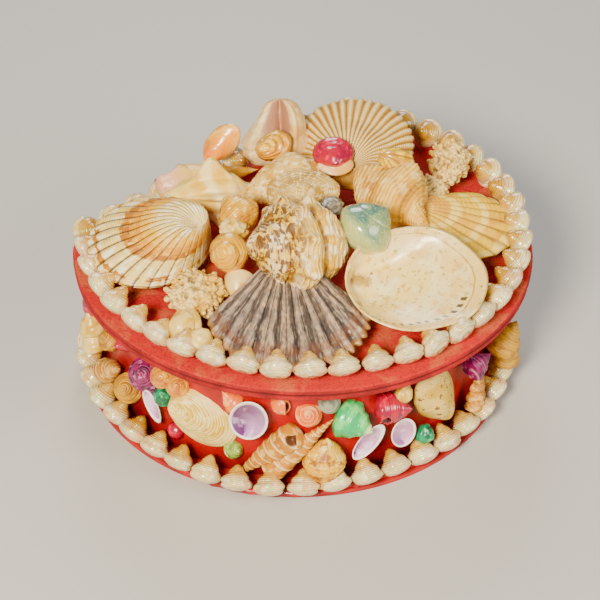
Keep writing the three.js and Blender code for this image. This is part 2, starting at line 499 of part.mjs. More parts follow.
// A row of pearl shells as one solid: eight-sided cones with rounded bases. Each touches the next, and is
// joined to it, in a small triangle at the rim, whose corners the two share.
function pearlRow(seats, lean) {
  const frames = seats.map((seat) => placement({ seat, lean }));
  const width = seats[0].at.distanceTo(seats[1].at);
  const count = frames.length;
  const points = [];
  const corner = (frame, x, y, z) => points.push(new THREE.Vector3(x * width, y * PEARL_LENGTH, z * width)
    .applyMatrix4(frame)) - 1;
  const contacts = frames.map((frame, k) => {
    const parts = [frame, frames[(k + 1) % count]].map((f) => [0, 1, 2, 3].map((c) =>
      new THREE.Vector3().setFromMatrixColumn(f, c)));
    const [side, ahead, face, at] = [0, 1, 2, 3].map((c) => parts[0][c].add(parts[1][c]).multiplyScalar(0.5));
    const middle = new THREE.Matrix4().makeBasis(side, ahead, face).setPosition(at);
    return { top: corner(middle, 0, 0, 0.2), bottom: corner(middle, 0, 0, -0.2), front: corner(middle, 0, 0.12, 0) };
  });
  const triangles = [];
  frames.forEach((frame, k) => {
    const right = contacts[k];
    const left = contacts[(k + count - 1) % count];
    const [tip, base] = [corner(frame, 0, 0.85, 0), corner(frame, 0, -0.15, 0)];
    const rim = [right.top, corner(frame, 0.25, 0, 0.47), corner(frame, -0.25, 0, 0.47), left.top,
      left.bottom, corner(frame, -0.25, 0, -0.47), corner(frame, 0.25, 0, -0.47), right.bottom];
    const waist = [[0.34, 0], [0, 0.34], [-0.34, 0], [0, -0.34]].map(([x, z]) => corner(frame, x, 0.43, z));
    rim.forEach((from, i) => triangles.push([base, from, rim[(i + 1) % 8]]));
    waist.forEach((from, i) => triangles.push([from, tip, waist[(i + 1) % 4]]));
    triangles.push([rim[1], waist[1], rim[2]], [rim[5], waist[3], rim[6]]);
    triangles.push([rim[0], waist[0], rim[1]], [waist[0], waist[1], rim[1]]);
    triangles.push([rim[2], waist[1], rim[3]], [waist[1], waist[2], rim[3]]);
    triangles.push([rim[4], waist[2], rim[5]], [waist[2], waist[3], rim[5]]);
    triangles.push([rim[6], waist[3], rim[7]], [waist[3], waist[0], rim[7]]);
    triangles.push([right.front, waist[0], right.top], [right.bottom, waist[0], right.front]);
    triangles.push([left.top, waist[2], left.front], [left.front, waist[2], left.bottom]);
  });
  return new THREE.BufferGeometry().setFromPoints(points).setIndex(triangles.flat());
}

// The base row is off the lid's centre with the base, and bulges outward at the front.
function baseRowShift(out) {
  const turn = (out.angle() / DEG - OVERHANG.bearing + 180) % 360 - 180;
  const bulge = OVERHANG.out * Math.exp(-((turn / OVERHANG.spread) ** 2));
  return [BASE_SHIFT[0] + bulge * out.x, BASE_SHIFT[1] + bulge * out.y];
}

function addPearlRow(name, row, shift) {
  const geometry = pearlRow(rowSeats(row, shift), row.lean);
  const none = new THREE.Matrix4();
  addPiece(name, 0xeae0c8, 0.35, geometry, none, turned);
  settle(geometry, none);
}

// Room for a finished piece: its own shape and the same shape grown, cut from every piece that comes later.
function settle(geometry, matrix) {
  settled.push(solidOf(grown(geometry), matrix), solidOf(geometry, matrix));
}

// One shell, or a cluster of small shells that touch their neighbours, fused into one piece.
function addFused(name, colour, placed) {
  let solid = null;
  for (const { geometry, matrix } of placed) {
    const one = solidOf(geometry, matrix);
    solid = solid ? solid.add(one) : one;
  }
  for (const neighbour of settled) solid = solid.subtract(neighbour);
  const none = new THREE.Matrix4();
  addPiece(name, colour, 0.6, geometryOf(largest(solid), none), none, turned);
  for (const { geometry, cutter = geometry, matrix } of placed) settle(cutter, matrix);
}

// Shells of a list, one node each, except that those with the same `fused` name stick together as one.
function addShells(list) {
  const names = [...new Set(list.map((entry) => entry.name ?? entry.fused))];
  for (const name of names) {
    const entries = list.filter((entry) => (entry.name ?? entry.fused) === name);
    addFused(name, entries[0].colour, entries.map((entry) => ({
      geometry: shapeOf(entry),
      cutter: entry.valve ? valve({ ...entry.valve, filled: true }) : undefined,
      matrix: placement(entry),
    })));
  }
}

addPanel('base_panel', 0xc4302a, board(BASE_INSET, BASE_BOARD), BASE_SHIFT, 0);
const wallHeight = BOX_HEIGHT - LID_BOARD - BASE_BOARD - 2 * GAP;
addPanel('box_wall', 0xc8201a, wall(WALL_INSET, BOARD, wallHeight), BASE_SHIFT, BASE_BOARD + GAP);
addPanel('lid_panel', 0xd8483c, board(0, LID_BOARD), [0, 0], BOX_HEIGHT - LID_BOARD);
addPearlRow('lid_pearl_row', LID_ROW, () => [0, 0]);
addPearlRow('base_pearl_row', BASE_ROW, baseRowShift);
addShells(LID_SHELLS);
addShells(WALL_SHELLS);
const fan = valve(FAN);
for (const [name, seats] of [['shells_right_side', rightFans], ['shells_back', backFans]]) {
  addFused(name, 0xd9c8a2, seats.map((seat) => ({ geometry: fan, matrix: placement({ seat, turn: 90 }) })));
}

export default box;
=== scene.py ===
"""Shell box: the surfaces that show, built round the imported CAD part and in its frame."""
import math
from functools import cache, partial

import bmesh
import bpy
import numpy as np
from mathutils import Matrix, Vector, noise


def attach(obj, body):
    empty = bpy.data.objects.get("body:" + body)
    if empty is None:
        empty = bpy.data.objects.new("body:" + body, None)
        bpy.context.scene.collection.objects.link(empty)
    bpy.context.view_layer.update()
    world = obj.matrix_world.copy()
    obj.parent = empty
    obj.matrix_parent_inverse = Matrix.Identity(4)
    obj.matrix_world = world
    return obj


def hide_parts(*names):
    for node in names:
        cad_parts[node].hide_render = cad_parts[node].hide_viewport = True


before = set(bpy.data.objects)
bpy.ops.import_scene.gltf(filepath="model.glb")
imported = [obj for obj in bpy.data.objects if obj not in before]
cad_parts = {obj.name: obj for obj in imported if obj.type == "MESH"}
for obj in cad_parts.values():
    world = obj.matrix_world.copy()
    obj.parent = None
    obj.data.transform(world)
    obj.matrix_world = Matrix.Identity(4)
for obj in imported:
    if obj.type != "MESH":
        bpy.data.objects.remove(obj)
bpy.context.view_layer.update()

MM = 0.001
DEG = math.pi / 180
TURN = 2 * math.pi
SHOW_TURN = 41 * DEG             # the shells are laid out in a frame turned this far from the part's
LID_TOP, LID_THICK = 56.0, 5.0
LID_RADIUS, LID_FLAT, CORNER = 93.0, 59.5, 6.0
BASE_INSET, BASE_THICK = 5.0, 1.6
WALL_INSET, WALL_THICK = 14.5, 3.0
BASE_SHIFT = (-2.5, -3.5)        # the loose lid sits this far off the base's centre
GAP = 0.3                        # between the wall and the boards
rng = np.random.default_rng(11)

# ---- Plan outline --------------------------------------------------------------------------------------


def plan_outline(inset):
    """A circle cut by a straight back, with small round corners, as points about every degree."""
    radius, flat = LID_RADIUS - inset, LID_FLAT - inset
    corner = max(CORNER - inset / 2, 1)
    cx = math.sqrt((radius - corner) ** 2 - (flat - corner) ** 2)
    join = math.atan2(flat - corner, cx)

    def arc(x, y, r, start, end, count):
        a = np.linspace(start, end, count)
        return np.stack([x + r * np.cos(a), y + r * np.sin(a)], 1)
    back = np.linspace(cx, -cx, 60)[1:-1]
    past = 0.02                  # so that arcs share no point
    return np.concatenate([
        arc(-cx, flat - corner, corner, math.pi / 2, math.pi - join, 10),
        arc(0, 0, radius, math.pi - join + past, TURN + join - past, 260),
        arc(cx, flat - corner, corner, join, math.pi / 2, 10),
        np.stack([back, np.full(len(back), flat)], 1)])


def spun(points, angle):
    """Points turned about the vertical axis."""
    c, s = math.cos(angle), math.sin(angle)
    x, y = points[..., 0], points[..., 1]
    out = np.array(points, float)
    out[..., 0], out[..., 1] = c * x - s * y, s * x + c * y
    return out


BASE_OFFSET = spun(np.array([*BASE_SHIFT, 0.0]), -SHOW_TURN)[:2]

# ---- Making a piece ------------------------------------------------------------------------------------


def link(name, data):
    made = bpy.data.objects.new(name, data)
    bpy.context.scene.collection.objects.link(made)
    return made


def make_piece(name, node, slot, material, points, faces, marks):
    """A smooth mesh from points in millimetres, riding on the box and standing for its CAD node."""
    mesh = bpy.data.meshes.new(name)
    mesh.from_pydata((np.asarray(points) * MM).tolist(), [], faces)
    for mark, values in marks.items():
        values = np.asarray(values, np.float32)
        kind, key = ("FLOAT", "value") if values.ndim == 1 else ("FLOAT_VECTOR", "vector")
        mesh.attributes.new(mark, kind, "POINT").data.foreach_set(key, values.ravel())
    mesh.polygons.foreach_set("use_smooth", [True] * len(mesh.polygons))
    mesh.materials.append(material)
    mesh.update()
    piece = link(name, mesh)
    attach(piece, "root")
    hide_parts(node)


def join(shells):
    """Several shells, each given as points, faces and marks, as one."""
    faces, count = [], 0
    for points, own, _ in shells:
        faces += [tuple(i + count for i in face) for face in own]
        count += len(points)
    marks = {mark: np.concatenate([s[2][mark] for s in shells]) for mark in shells[0][2]}
    return np.concatenate([s[0] for s in shells]), faces, marks


def ring_faces(rings, sides, capped=True):
    """Quads between rings of points, and fans to the two end points that come first and last."""
    first = 1 if capped else 0
    beside = [(j, (j + 1) % sides) for j in range(sides)]
    faces = [(a + j, a + sides + j, a + sides + k, a + k)
             for a in range(first, first + (rings - 1) * sides, sides) for j, k in beside]
    if capped:
        last = first + (rings - 1) * sides
        for j, k in beside:
            faces += [(0, first + j, first + k), (last + sides, last + k, last + j)]
    return faces


def smooth_curve(points, t):
    """A curve through (t, r) points that doesn't overshoot them."""
    x, y = np.array(points, float).T
    d = np.diff(y) / np.diff(x)
    m = np.zeros(len(x))
    product, total = d[1:] * d[:-1], d[1:] + d[:-1]
    m[1:-1] = np.where(product > 0, 2 * product / np.where(total == 0, 1, total), 0)
    m[0], m[-1] = d[0], d[-1]
    i = np.clip(np.searchsorted(x, t) - 1, 0, len(x) - 2)
    h = x[i + 1] - x[i]
    s = np.clip((t - x[i]) / h, 0, 1)
    return (y[i] * (1 + 2 * s) * (1 - s) ** 2 + m[i] * h * s * (1 - s) ** 2
            + y[i + 1] * s * s * (3 - 2 * s) + m[i + 1] * h * s * s * (s - 1))


def ramp(x, low, high):
    s = np.clip((x - low) / (high - low), 0, 1)
    return s * s * (3 - 2 * s)


# ---- Seats, in the turned frame ------------------------------------------------------------------------


def on_lid(x, y, z):
    return dict(at=(x, y, LID_TOP + z), right=(1, 0, 0), up=(0, 1, 0), out=(0, 0, 1))


def on_wall(bearing, z, radius, shift=(0, 0)):
    c, s = math.cos(bearing * DEG), math.sin(bearing * DEG)
    at = (radius * c + shift[0], radius * s + shift[1], z)
    return dict(at=at, right=(-s, c, 0), up=(0, 0, 1), out=(c, s, 0))


def on_back(along, z, depth):
    out, right = spun(np.array([[0, 1, 0], [-1, 0, 0]], float), SHOW_TURN)
    at = right * along + out * (LID_FLAT - WALL_INSET + depth)
    return dict(at=(at[0] + BASE_SHIFT[0], at[1] + BASE_SHIFT[1], z), right=right, up=(0, 0, 1), out=out)


def placed(points, seat, turn=0, lean=0, roll=0):
    """Points of a shell, Y ahead and Z facing out of its seat, turned, leaned out and rolled about Y."""
    right, up, out = (np.array(seat[k], float) for k in ("right", "up", "out"))
    a, e, r = turn * DEG, lean * DEG, roll * DEG
    ahead = right * math.cos(a) * math.cos(e) + up * math.sin(a) * math.cos(e) + out * math.sin(e)
    face = out - ahead * out.dot(ahead)
    face /= np.linalg.norm(face)
    face = face * math.cos(r) + np.cross(ahead, face) * math.sin(r)
    axes = np.array([np.cross(ahead, face), ahead, face])
    return spun(points @ axes + np.array(seat["at"], float), -SHOW_TURN)


# ---- Shell forms ---------------------------------------------------------------------------------------

# Outlines of the spiral shells, from the point (0) to the far end (1), as shares of half the width.
PROFILES = {
    "top": [(0, 0), (0.74, 0.94), (0.86, 1), (0.97, 0.7), (1, 0)],
    "turban": [(0, 0), (0.12, 0.28), (0.4, 0.72), (0.68, 1), (0.88, 0.82), (1, 0)],
    "moon": [(0, 0), (0.1, 0.36), (0.34, 0.82), (0.58, 1), (0.84, 0.76), (1, 0)],
    "pearl": [(0, 0), (0.05, 0.17), (0.28, 0.5), (0.52, 0.84), (0.66, 1), (0.8, 0.97), (0.92, 0.72), (1, 0)],
    "turret": [(0, 0), (0.06, 0.1), (0.9, 0.96), (0.96, 0.94), (1, 0)],
    "whelk": [(0, 0), (0.14, 0.22), (0.36, 0.6), (0.52, 1), (0.68, 0.86), (0.86, 0.42), (0.97, 0.24), (1, 0)],
    "conch": [(0, 0), (0.12, 0.2), (0.28, 0.42), (0.4, 0.86), (0.56, 1), (0.78, 0.92), (0.92, 0.7),
              (0.98, 0.45), (1, 0)],
    "horn": [(0, 0), (0.15, 0.26), (0.5, 0.72), (0.76, 1), (0.95, 0.84), (1, 0)],
    "murex": [(0, 0), (0.06, 0.16), (0.22, 0.42), (0.36, 0.96), (0.54, 1), (0.76, 0.74), (0.94, 0.36), (1, 0)],
    "rough": [(0, 0), (0.04, 0.2), (0.13, 0.42), (0.22, 0.66), (0.32, 0.96), (0.5, 1), (0.72, 0.84),
              (0.9, 0.5), (1, 0)],
    "nutmeg": [(0, 0), (0.12, 0.3), (0.3, 0.8), (0.5, 1), (0.72, 0.78), (0.84, 0.46), (0.94, 0.6), (1, 0)],
}
LIP_TURN = 0.2                   # where the open lip lies, as a share of a turn from the face towards +X


def roughened(points, size, height, seed):
    """How far fine lumps of a given size stand up at each point, in millimetres."""
    offset = Vector((seed * 7.3, seed * 3.1, seed * 5.7))
    return height * np.array([noise.fractal(Vector(p) / size + offset, 0.8, 2.1, 3) for p in points])


def spiral_shell(form, length, width, whorls=4, pinch=0.12, knobs=0, knob=0, spiky=1.5, lip=0, cords=0,
                 cord=0, ribs=0, rib=0, mouth=None, rough=0, rough_mm=3, sides=44, rings=48, seed=0.0,
                 middle=0.0):
    """A spiral shell about Y with its point at +Y: whorls that swell between the seams, spiral cords, ribs
    across them, knobs on the widest whorl, a flared lip, and a mouth sunk into the last whorl."""
    s = np.arange(1, rings) / rings
    t = (s - 0.35 * np.sin(TURN * s) / TURN)[:, None]
    angle = (TURN * np.arange(sides) / sides)[None, :]
    turns = whorls * np.log(1 + 3 * t) / math.log(4) + angle / TURN
    u = turns % 1.0
    hump = np.sqrt(np.clip(4 * u * (1 - u), 0, 1))
    body = np.exp(-((t - 0.5) / 0.22) ** 2)
    peak = np.clip(np.cos(knobs * angle), 0, 1) ** spiky
    bump = 1 + knob * body * peak * np.exp(-((u - 0.45) / 0.3) ** 2) * 1.3
    grown = (angle / TURN - LIP_TURN + 1) % 1
    flare = (1 + lip * body * (1 - grown) ** 2) / (1 + lip / 2)
    sharp = smooth_curve(PROFILES[form], t[:, 0])
    blunt = np.sqrt(np.clip(smooth_curve([(a, b * b) for a, b in PROFILES[form]], t[:, 0]), 0, None))
    share = ramp(t[:, 0], 0.3, 0.7)
    outline = (sharp * (1 - share) + blunt * share)[:, None]
    relief, lines = (hump - 0.6) * 0.5 + 0.5, np.zeros_like(u)
    for count, height, wave in ((cords, cord, TURN * cords * u),
                                (ribs, rib * hump, ribs * angle + 1.5 * u)):
        if count:
            lines = lines + height * np.cos(wave)
            relief = relief + 0.25 * np.cos(wave)
    ends = ramp(t, 0.0, 0.08) * ramp(1 - t, 0.0, 0.1)
    r = outline * width / 2 * (1 - pinch * (1 - hump)) * bump * flare + lines * ends
    hollow = np.zeros_like(r)
    if mouth:
        turn, at, wide, tall, deep, edge = mouth
        q = np.sqrt((((angle / TURN - turn + 0.5) % 1 - 0.5) / wide) ** 2 + ((t - at) / tall) ** 2)
        hollow = ramp(-q, -1.0, -0.72)
        r = r * (1 - deep * ramp(-q, -1.0, -0.45)) + edge * np.exp(-((q - 1.08) / 0.13) ** 2)

    def capped(values, first, last):
        return np.concatenate([[first], (values + 0 * r).ravel(), [last]])
    points = np.stack([capped(r * np.sin(angle), 0, 0), capped(length * (0.5 - t), length / 2, -length / 2),
                       capped(r * np.cos(angle), 0, 0)], 1)
    if rough:
        away = points * [1, 0, 1]
        away /= np.maximum(np.linalg.norm(away, axis=1), 0.01)[:, None]
        points += away * roughened(points, rough_mm, rough, seed)[:, None]
    points[:, 1] += middle
    growth = np.stack([capped(turns, 0, whorls), capped(t, 0, 1), capped(relief, 0.6, 0.6)], 1)
    return points, ring_faces(rings - 1, sides), {"growth": growth, "hollow": capped(hollow, 0, 0)}


def valve(width, height, depth, thickness=2.0, beak=(0, 0.84), ribs=0, rib_depth=0, fan=2.0, ears=0,
          sharp=0.7, steps=0, step=0, frill=0, rough=0, rough_mm=3, rows=44, seed=0.0, columns=120,
          inner_ribs=0.0, crown=0.82, uneven=0.0, scars=0.0):
    """One valve of a clam, cockle or scallop, a dished shell of true thickness with its beak at -Y: ribs that
    fan out from the beak, growth steps across them, a margin that the ribs scallop, and a smooth inside."""
    bx, by = beak[0] * width / 2, -beak[1] * height / 2
    across = max(columns, ribs * 6)
    behind = max(int(across * (math.pi - fan) / fan * 0.6), 24)
    angle = np.concatenate([np.linspace(-fan, fan, across + 1),
                            np.linspace(fan, TURN - fan, behind + 2)[1:-1]])
    turned = np.where(angle > math.pi, angle - TURN, angle)
    front = np.abs(turned) <= fan + 1e-6
    fade = np.where(front, np.cos(np.clip(turned * math.pi / 2 / fan, -math.pi / 2, math.pi / 2)) ** 0.5, 0)
    swell = (0.5 + 0.5 * np.cos(turned * ribs * math.pi / fan)) ** sharp if ribs else 0.5 + 0 * turned
    wave = (2 * swell - 1) * fade
    # How far the margin is from the beak each way: an oval, with square ears behind a scallop.
    aim = np.abs(turned) if ears else turned
    dx, dy = np.sin(aim), np.cos(aim)
    a = (dx * 2 / width) ** 2 + (dy * 2 / height) ** 2
    b = 2 * (bx * dx * 4 / width ** 2 + by * dy * 4 / height ** 2)
    c = (bx * 2 / width) ** 2 + (by * 2 / height) ** 2 - 1
    far = (-b + np.sqrt(b * b - 4 * a * c)) / (2 * a)
    if ears:
        shoulder = ramp(aim, fan, fan + 0.12)
        far = far * (1 - shoulder) + ears * shoulder
    far = far * (1 - 2 * uneven + uneven * (np.sin(3 * turned + seed) + 0.6 * np.sin(7 * turned + 2 * seed)
                                            + 0.4 * np.sin(13 * turned + seed)))

    def layer(v, inner):
        v = v[:, None]
        gone, deep = (thickness, depth - thickness) if inner else (0, depth)
        fold = wave * np.clip(v * 1.15, 0, 1)
        r = (far - gone * 0.7) * v * (1 + frill * fold * v ** 6 * (not inner))
        full = 0.82 + 0.18 * np.sin(math.pi * np.minimum(v * 1.6, 1))
        dome = deep * np.clip(1 - v ** 2.2, 0, 1) ** 0.8 * full
        dome = dome - deep * (0.82 - crown) * np.clip(1 - v / 0.3, 0, 1) ** 2
        if inner and scars:
            for side in (-0.62, 0.62):
                q = ((turned / fan - side) / 0.13) ** 2 + ((v - 0.58) / 0.13) ** 2
                dome = dome - scars * np.exp(-q ** 2)
            dome = dome - scars * 0.6 * np.exp(-((v - 0.79) / 0.012) ** 2) * (np.abs(turned) < fan)
        saw = (v * steps + 0.25 * np.sin(17 * v) + 0.12 * np.sin(turned * 5 + 9 * v)) % 1.0
        z = dome + fold * rib_depth * (1 - v ** 6 * 0.6) * (inner_ribs if inner else 1)
        relief = 0.5 + 0 * v
        if not inner:
            z = z + step * (saw - 0.5) * v
            share = (0.1 if ribs else 1.0) if steps else 0
            relief = (0.5 + 0.5 * wave) * (1 - share) + share * saw
        points = np.stack([bx + r * np.sin(turned), by + r * np.cos(turned), z + 0 * r], -1)
        growth = np.stack([turned / fan + 0 * r, v + 0 * r, relief + 0 * r], -1)
        return points.reshape(-1, 3), growth.reshape(-1, 3)
    inner_v = np.array([1.0, 0.99, 0.975, 0.955, 0.93] + list(np.linspace(0.9, 0.05, max(rows // 4, 9))))
    outside, inside = layer((np.arange(1, rows + 1) / rows) ** 0.8, False), layer(inner_v, True)
    points = np.concatenate([[[bx, by, depth * crown]], outside[0], inside[0],
                             [[bx, by, (depth - thickness) * crown]]])
    growth = np.concatenate([[[0, 0, 0.5]], outside[1], inside[1], [[0, 0, 0.5]]])
    hollow = np.repeat([0.0, 1.0], [1 + len(outside[0]), len(inside[0]) + 1])
    if rough:
        points[:, 2] += roughened(points * [1, 1, 0], rough_mm, rough, seed)
    return points, ring_faces(rows + len(inner_v), len(angle)), {"growth": growth, "hollow": hollow}


def ball(detail):
    """Points and faces of a ball of radius 1."""
    made = bmesh.new()
    bmesh.ops.create_icosphere(made, subdivisions=detail, radius=1)
    points = np.array([v.co for v in made.verts])
    faces = [tuple(v.index for v in f.verts) for f in made.faces]
    made.free()
    return points, faces


def lump(size, rough=0.2, grain=0.5, detail=5):
    """A pebble or a water-worn chip: a ball drawn out along its axes, roughened, with a fine grain."""
    p, faces = ball(detail)
    p = p / 2
    x, y, z = p.T
    bump = np.sin(21 * x + 1) * np.sin(18 * y + 2) + np.sin(27 * z + x * 5)
    points = p * (1 + rough * bump / 2)[:, None] * size
    relief = np.full(len(points), 0.5)
    if grain:
        cells = np.array([noise.voronoi(Vector(q) / 1.6)[0][0] for q in points])
        points = points + p / np.linalg.norm(p, axis=1)[:, None] * (grain * (0.35 - cells))[:, None]
        relief = np.clip(1 - cells, 0, 1)
    return points, faces, {"growth": np.stack([x, y + 0.5, relief], 1), "hollow": np.zeros(len(points))}


def branching_coral(size, fingers, seed):
    """A lump of branching coral: blunt knobbly fingers out of a core, grown together and pitted."""
    chance = np.random.default_rng(int(seed))
    half, thick = np.array(size, float) / 2, 1.25
    knob, knob_faces = ball(2)
    core, core_faces = ball(3)
    heap = [(core * half * 0.62, core_faces, {})]
    for k in range(fingers):
        high = 1 - 1.5 * (k + 0.5) / fingers
        a, out = k * math.pi * (3 - 5 ** 0.5), (1 - high * high) ** 0.5
        way = np.array([math.cos(a) * out, math.sin(a) * out, high])
        reach = chance.uniform(0.8, 1.0) * half - thick
        for share in np.linspace(0.45, 1, 7):
            at = way * reach * share + chance.normal(0, 0.35, 3)
            heap.append((knob * (thick * chance.uniform(0.85, 1.15)) + at, knob_faces, {}))
        for _ in range(2):
            at = way * reach * 0.85 + chance.normal(0, 1.1, 3)
            heap.append((knob * (thick * 0.75) + at, knob_faces, {}))
    points, faces, _ = join(heap)
    mesh = bpy.data.meshes.new("coral_heap")
    mesh.from_pydata(points.tolist(), [], faces)
    lumpy = link("coral_heap", mesh)
    grown = lumpy.modifiers.new("grown_together", "REMESH")
    grown.mode, grown.voxel_size = "VOXEL", 0.5
    made = lumpy.evaluated_get(bpy.context.evaluated_depsgraph_get()).to_mesh()
    points = np.array([v.co for v in made.vertices])
    away = np.array([v.normal for v in made.vertices])
    faces = [tuple(f.vertices) for f in made.polygons]
    bpy.data.objects.remove(lumpy)
    bpy.data.meshes.remove(mesh)
    cells = np.array([noise.voronoi(Vector(q) / 0.9)[0][0] for q in points])
    points = points + away * (0.35 * (0.4 - cells))[:, None]
    out = np.linalg.norm(points / half, axis=1)
    # The third mark rises from the core outward, so the finish paints shade in among the fingers.
    growth = np.stack([out, out, np.clip((out - 0.55) / 0.4, 0, 1)], 1)
    return points, faces, {"growth": growth, "hollow": np.zeros(len(points))}


# ---- Materials -----------------------------------------------------------------------------------------

NOISE_LUMP = 1.6                 # how wide a noise pattern is at scale 1, in lumps
RICHER = 1.2                     # gloss wets a shell and deepens its colour by about this much
MIX = dict(out=2, data_type="RGBA")
SMOOTH = dict(interpolation_type="SMOOTHSTEP")
TIMES, TIMES_ADD = dict(operation="MULTIPLY"), dict(operation="MULTIPLY_ADD")


def linear(code):
    """An sRGB hex colour as linear red, green, blue and alpha."""
    parts = [value / 255 for value in bytes.fromhex(code)]
    return (*[c / 12.92 if c <= 0.04045 else ((c + 0.055) / 1.055) ** 2.4 for c in parts], 1.0)


def noise_scale(mm):
    """The scale at which noise has lumps about this wide."""
    return 1 / (mm * NOISE_LUMP * MM)


def add_node(tree, kind, inputs=None, out=0, **settings):
    """Adds one shader node with its settings, sets or links its inputs, and gives back one output."""
    made = tree.nodes.new("ShaderNode" + kind)
    for key, value in settings.items():
        setattr(made, key, value)
    for key, value in (inputs or {}).items():
        if isinstance(value, bpy.types.NodeSocket):
            tree.links.new(value, made.inputs[key])
        else:
            made.inputs[key].default_value = value
    return made.outputs[out] if made.outputs else None


def new_material(name):
    """An empty material, and the function that adds nodes to it."""
    material = bpy.data.materials.new(name)
    material.use_nodes = True
    material.node_tree.nodes.clear()
    return material, partial(add_node, material.node_tree)


def layer_share(add, layer, marks, place):
    """How much of a layer of colour shows at each point, from 0 to 1."""
    def shake():
        return add("TexNoise", {"Vector": place, "Scale": noise_scale(layer.get("mm", 4)), "Detail": 3,
                                "Distortion": layer.get("warp", 0)})
    kind, value = layer["kind"], marks.get(layer.get("of"))
    if kind == "mottle":
        value = shake()
    elif kind == "streaks":
        drawn = add("VectorMath", {0: marks["growth"], 1: (*layer["counts"], 0)}, **TIMES)
        value = add("TexNoise", {"Vector": drawn, "Scale": 1, "Detail": 2})
    elif kind == "bands":
        along = add("Math", {0: value, 1: layer["count"] * TURN}, **TIMES)
        shaken = add("Math", {0: shake(), 1: layer["jitter"], 2: along}, **TIMES_ADD)
        value = add("Math", {0: shaken}, operation="SINE")
    elif "jitter" in layer:
        value = add("Math", {0: shake(), 1: layer["jitter"], 2: value}, **TIMES_ADD)
    share = add("MapRange", {"Value": value, "From Min": layer["low"], "From Max": layer["high"],
                             "To Max": layer["strength"]}, **SMOOTH)
    limits = []
    if "stop" in layer:
        full, gone = layer["stop"]
        limits.append(add("MapRange", {"Value": value, "From Min": gone, "From Max": full}, **SMOOTH))
    if "only" in layer:
        limits.append(layer_share(add, layer["only"], marks, place))
    for limit in limits:
        share = add("Math", {0: share, 1: limit}, **TIMES)
    return share


def shell_finish(name, ground, layers, rough, grain, lines=(0, 0), coat=0.0, grain_mm=0.7, film=0, glow=0.0,
                 pits_mm=0, bump=0.6):
    """A shell's surface: a ground colour under layers of bands, rays, mottling and colour laid in the grooves,
    which where dark is dirt with painted shade, with a fine grain and growth lines in the bump. The coat is
    natural gloss or dye, and the film gives pearl colours."""
    material, add = new_material(name)
    place = add("TexCoord", out="Object")
    growth = add("Attribute", out="Vector", attribute_name="growth")
    along, across, relief = add("SeparateXYZ", {0: growth}).node.outputs
    marks = {"growth": growth, "x": along, "y": across, "z": relief,
             "hollow": add("Attribute", out="Fac", attribute_name="hollow"),
             "tint": add("Attribute", out="Fac", attribute_name="tint")}
    colour = add("RGB")
    colour.default_value = linear(ground)
    for layer in layers:
        share = layer_share(add, layer, marks, place)
        colour = add("Mix", {0: share, 6: colour, 7: linear(layer["colour"])}, **MIX)
    colour = add("HueSaturation", {"Color": colour, "Saturation": RICHER})
    fine = add("TexNoise", {"Vector": place, "Scale": noise_scale(grain_mm), "Detail": 4})
    height = add("Math", {0: fine, 1: grain}, **TIMES)
    count, depth = lines
    if count:
        waver = add("TexNoise", {"Vector": place, "Scale": noise_scale(5), "Detail": 3})
        waver = add("Math", {0: waver, 1: 5}, **TIMES)
        wave = add("Math", {0: across, 1: count * TURN, 2: waver}, **TIMES_ADD)
        wave = add("Math", {0: wave}, operation="SINE")
        outside = add("Math", {0: 1.0, 1: marks["hollow"]}, operation="SUBTRACT")
        wave = add("Math", {0: wave, 1: outside}, **TIMES)
        height = add("Math", {0: wave, 1: depth, 2: height}, **TIMES_ADD)
    # Pits sink into the bump, with painted shade in them.
    if pits_mm:
        pits = add("TexVoronoi", {"Vector": place, "Scale": 1 / (pits_mm * MM)}, out="Distance")
        height = add("Math", {0: pits, 1: -0.8, 2: height}, **TIMES_ADD)
        deep = add("MapRange", {"Value": pits, "From Min": 0.52, "From Max": 0.78, "To Max": 0.6}, **SMOOTH)
        colour = add("Mix", {0: deep, 6: colour, 7: linear("6E4E26")}, **MIX)
    relieved = add("Bump", {"Height": height, "Distance": MM, "Strength": bump})
    smears = add("TexNoise", {"Vector": place, "Scale": noise_scale(3), "Detail": 3})
    gloss = add("MapRange", {"Value": smears, "To Min": rough - 0.08, "To Max": rough + 0.12})
    shader = add("BsdfPrincipled", {
        "Base Color": colour, "Roughness": gloss, "Normal": relieved, "IOR": 1.55, "Coat Weight": coat,
        "Coat Roughness": 0.12, "Thin Film Thickness": film, "Subsurface Weight": glow,
        "Subsurface Scale": 0.003, "Subsurface Radius": (1.0, 0.7, 0.45)})
    add("OutputMaterial", {"Surface": shader})
    return material


# Layers of colour, each shown between two limits of what it follows and up to a strength. "stop" ends a
# layer, "jitter" shakes its edges with noise "mm" wide, and "only" keeps it to where another layer shows.


def span(of, low, high, colour=None, strength=1.0, **rest):
    """Follows one mark: x round the fan or the whorls, y down the shell, z relief, hollow the inside."""
    return dict(kind="range", of=of, low=low, high=high, colour=colour, strength=strength, **rest)


def bands(of, count, low, high, colour, strength, **rest):
    """Stripes across one mark."""
    return span(of, low, high, colour, strength, count=count, **rest) | {"kind": "bands"}


def mottle(mm, low, high, colour=None, strength=1.0, **rest):
    """Blotches about so many millimetres wide."""
    return span("", low, high, colour, strength, mm=mm, **rest) | {"kind": "mottle"}


def streaks(across, along, low, high, colour=None, strength=1.0):
    """Noise drawn out along the ribs."""
    return span("", low, high, colour, strength, counts=(across, along)) | {"kind": "streaks"}


def groove(colour, strength=0.75, low=0.42, high=0.05):
    """Colour that lies in the grooves: dirt with painted shade where it is dark, the seam's own colour where it
    is pale.
    """
    return span("z", low, high, colour, strength)


def inside(colour, strength=1.0):
    """The colour of the mouth or the hollow side: the lining's own colour where pale, painted shade where dark.
    """
    return span("hollow", 0.2, 0.8, colour, strength)


def look(slot, ground, rough, grain, *layers, **rest):
    """A finish: its slot name, the ground colour, how rough and grainy it is, and its layers."""
    return slot, dict(ground=ground, rough=rough, grain=grain, layers=layers, **rest)


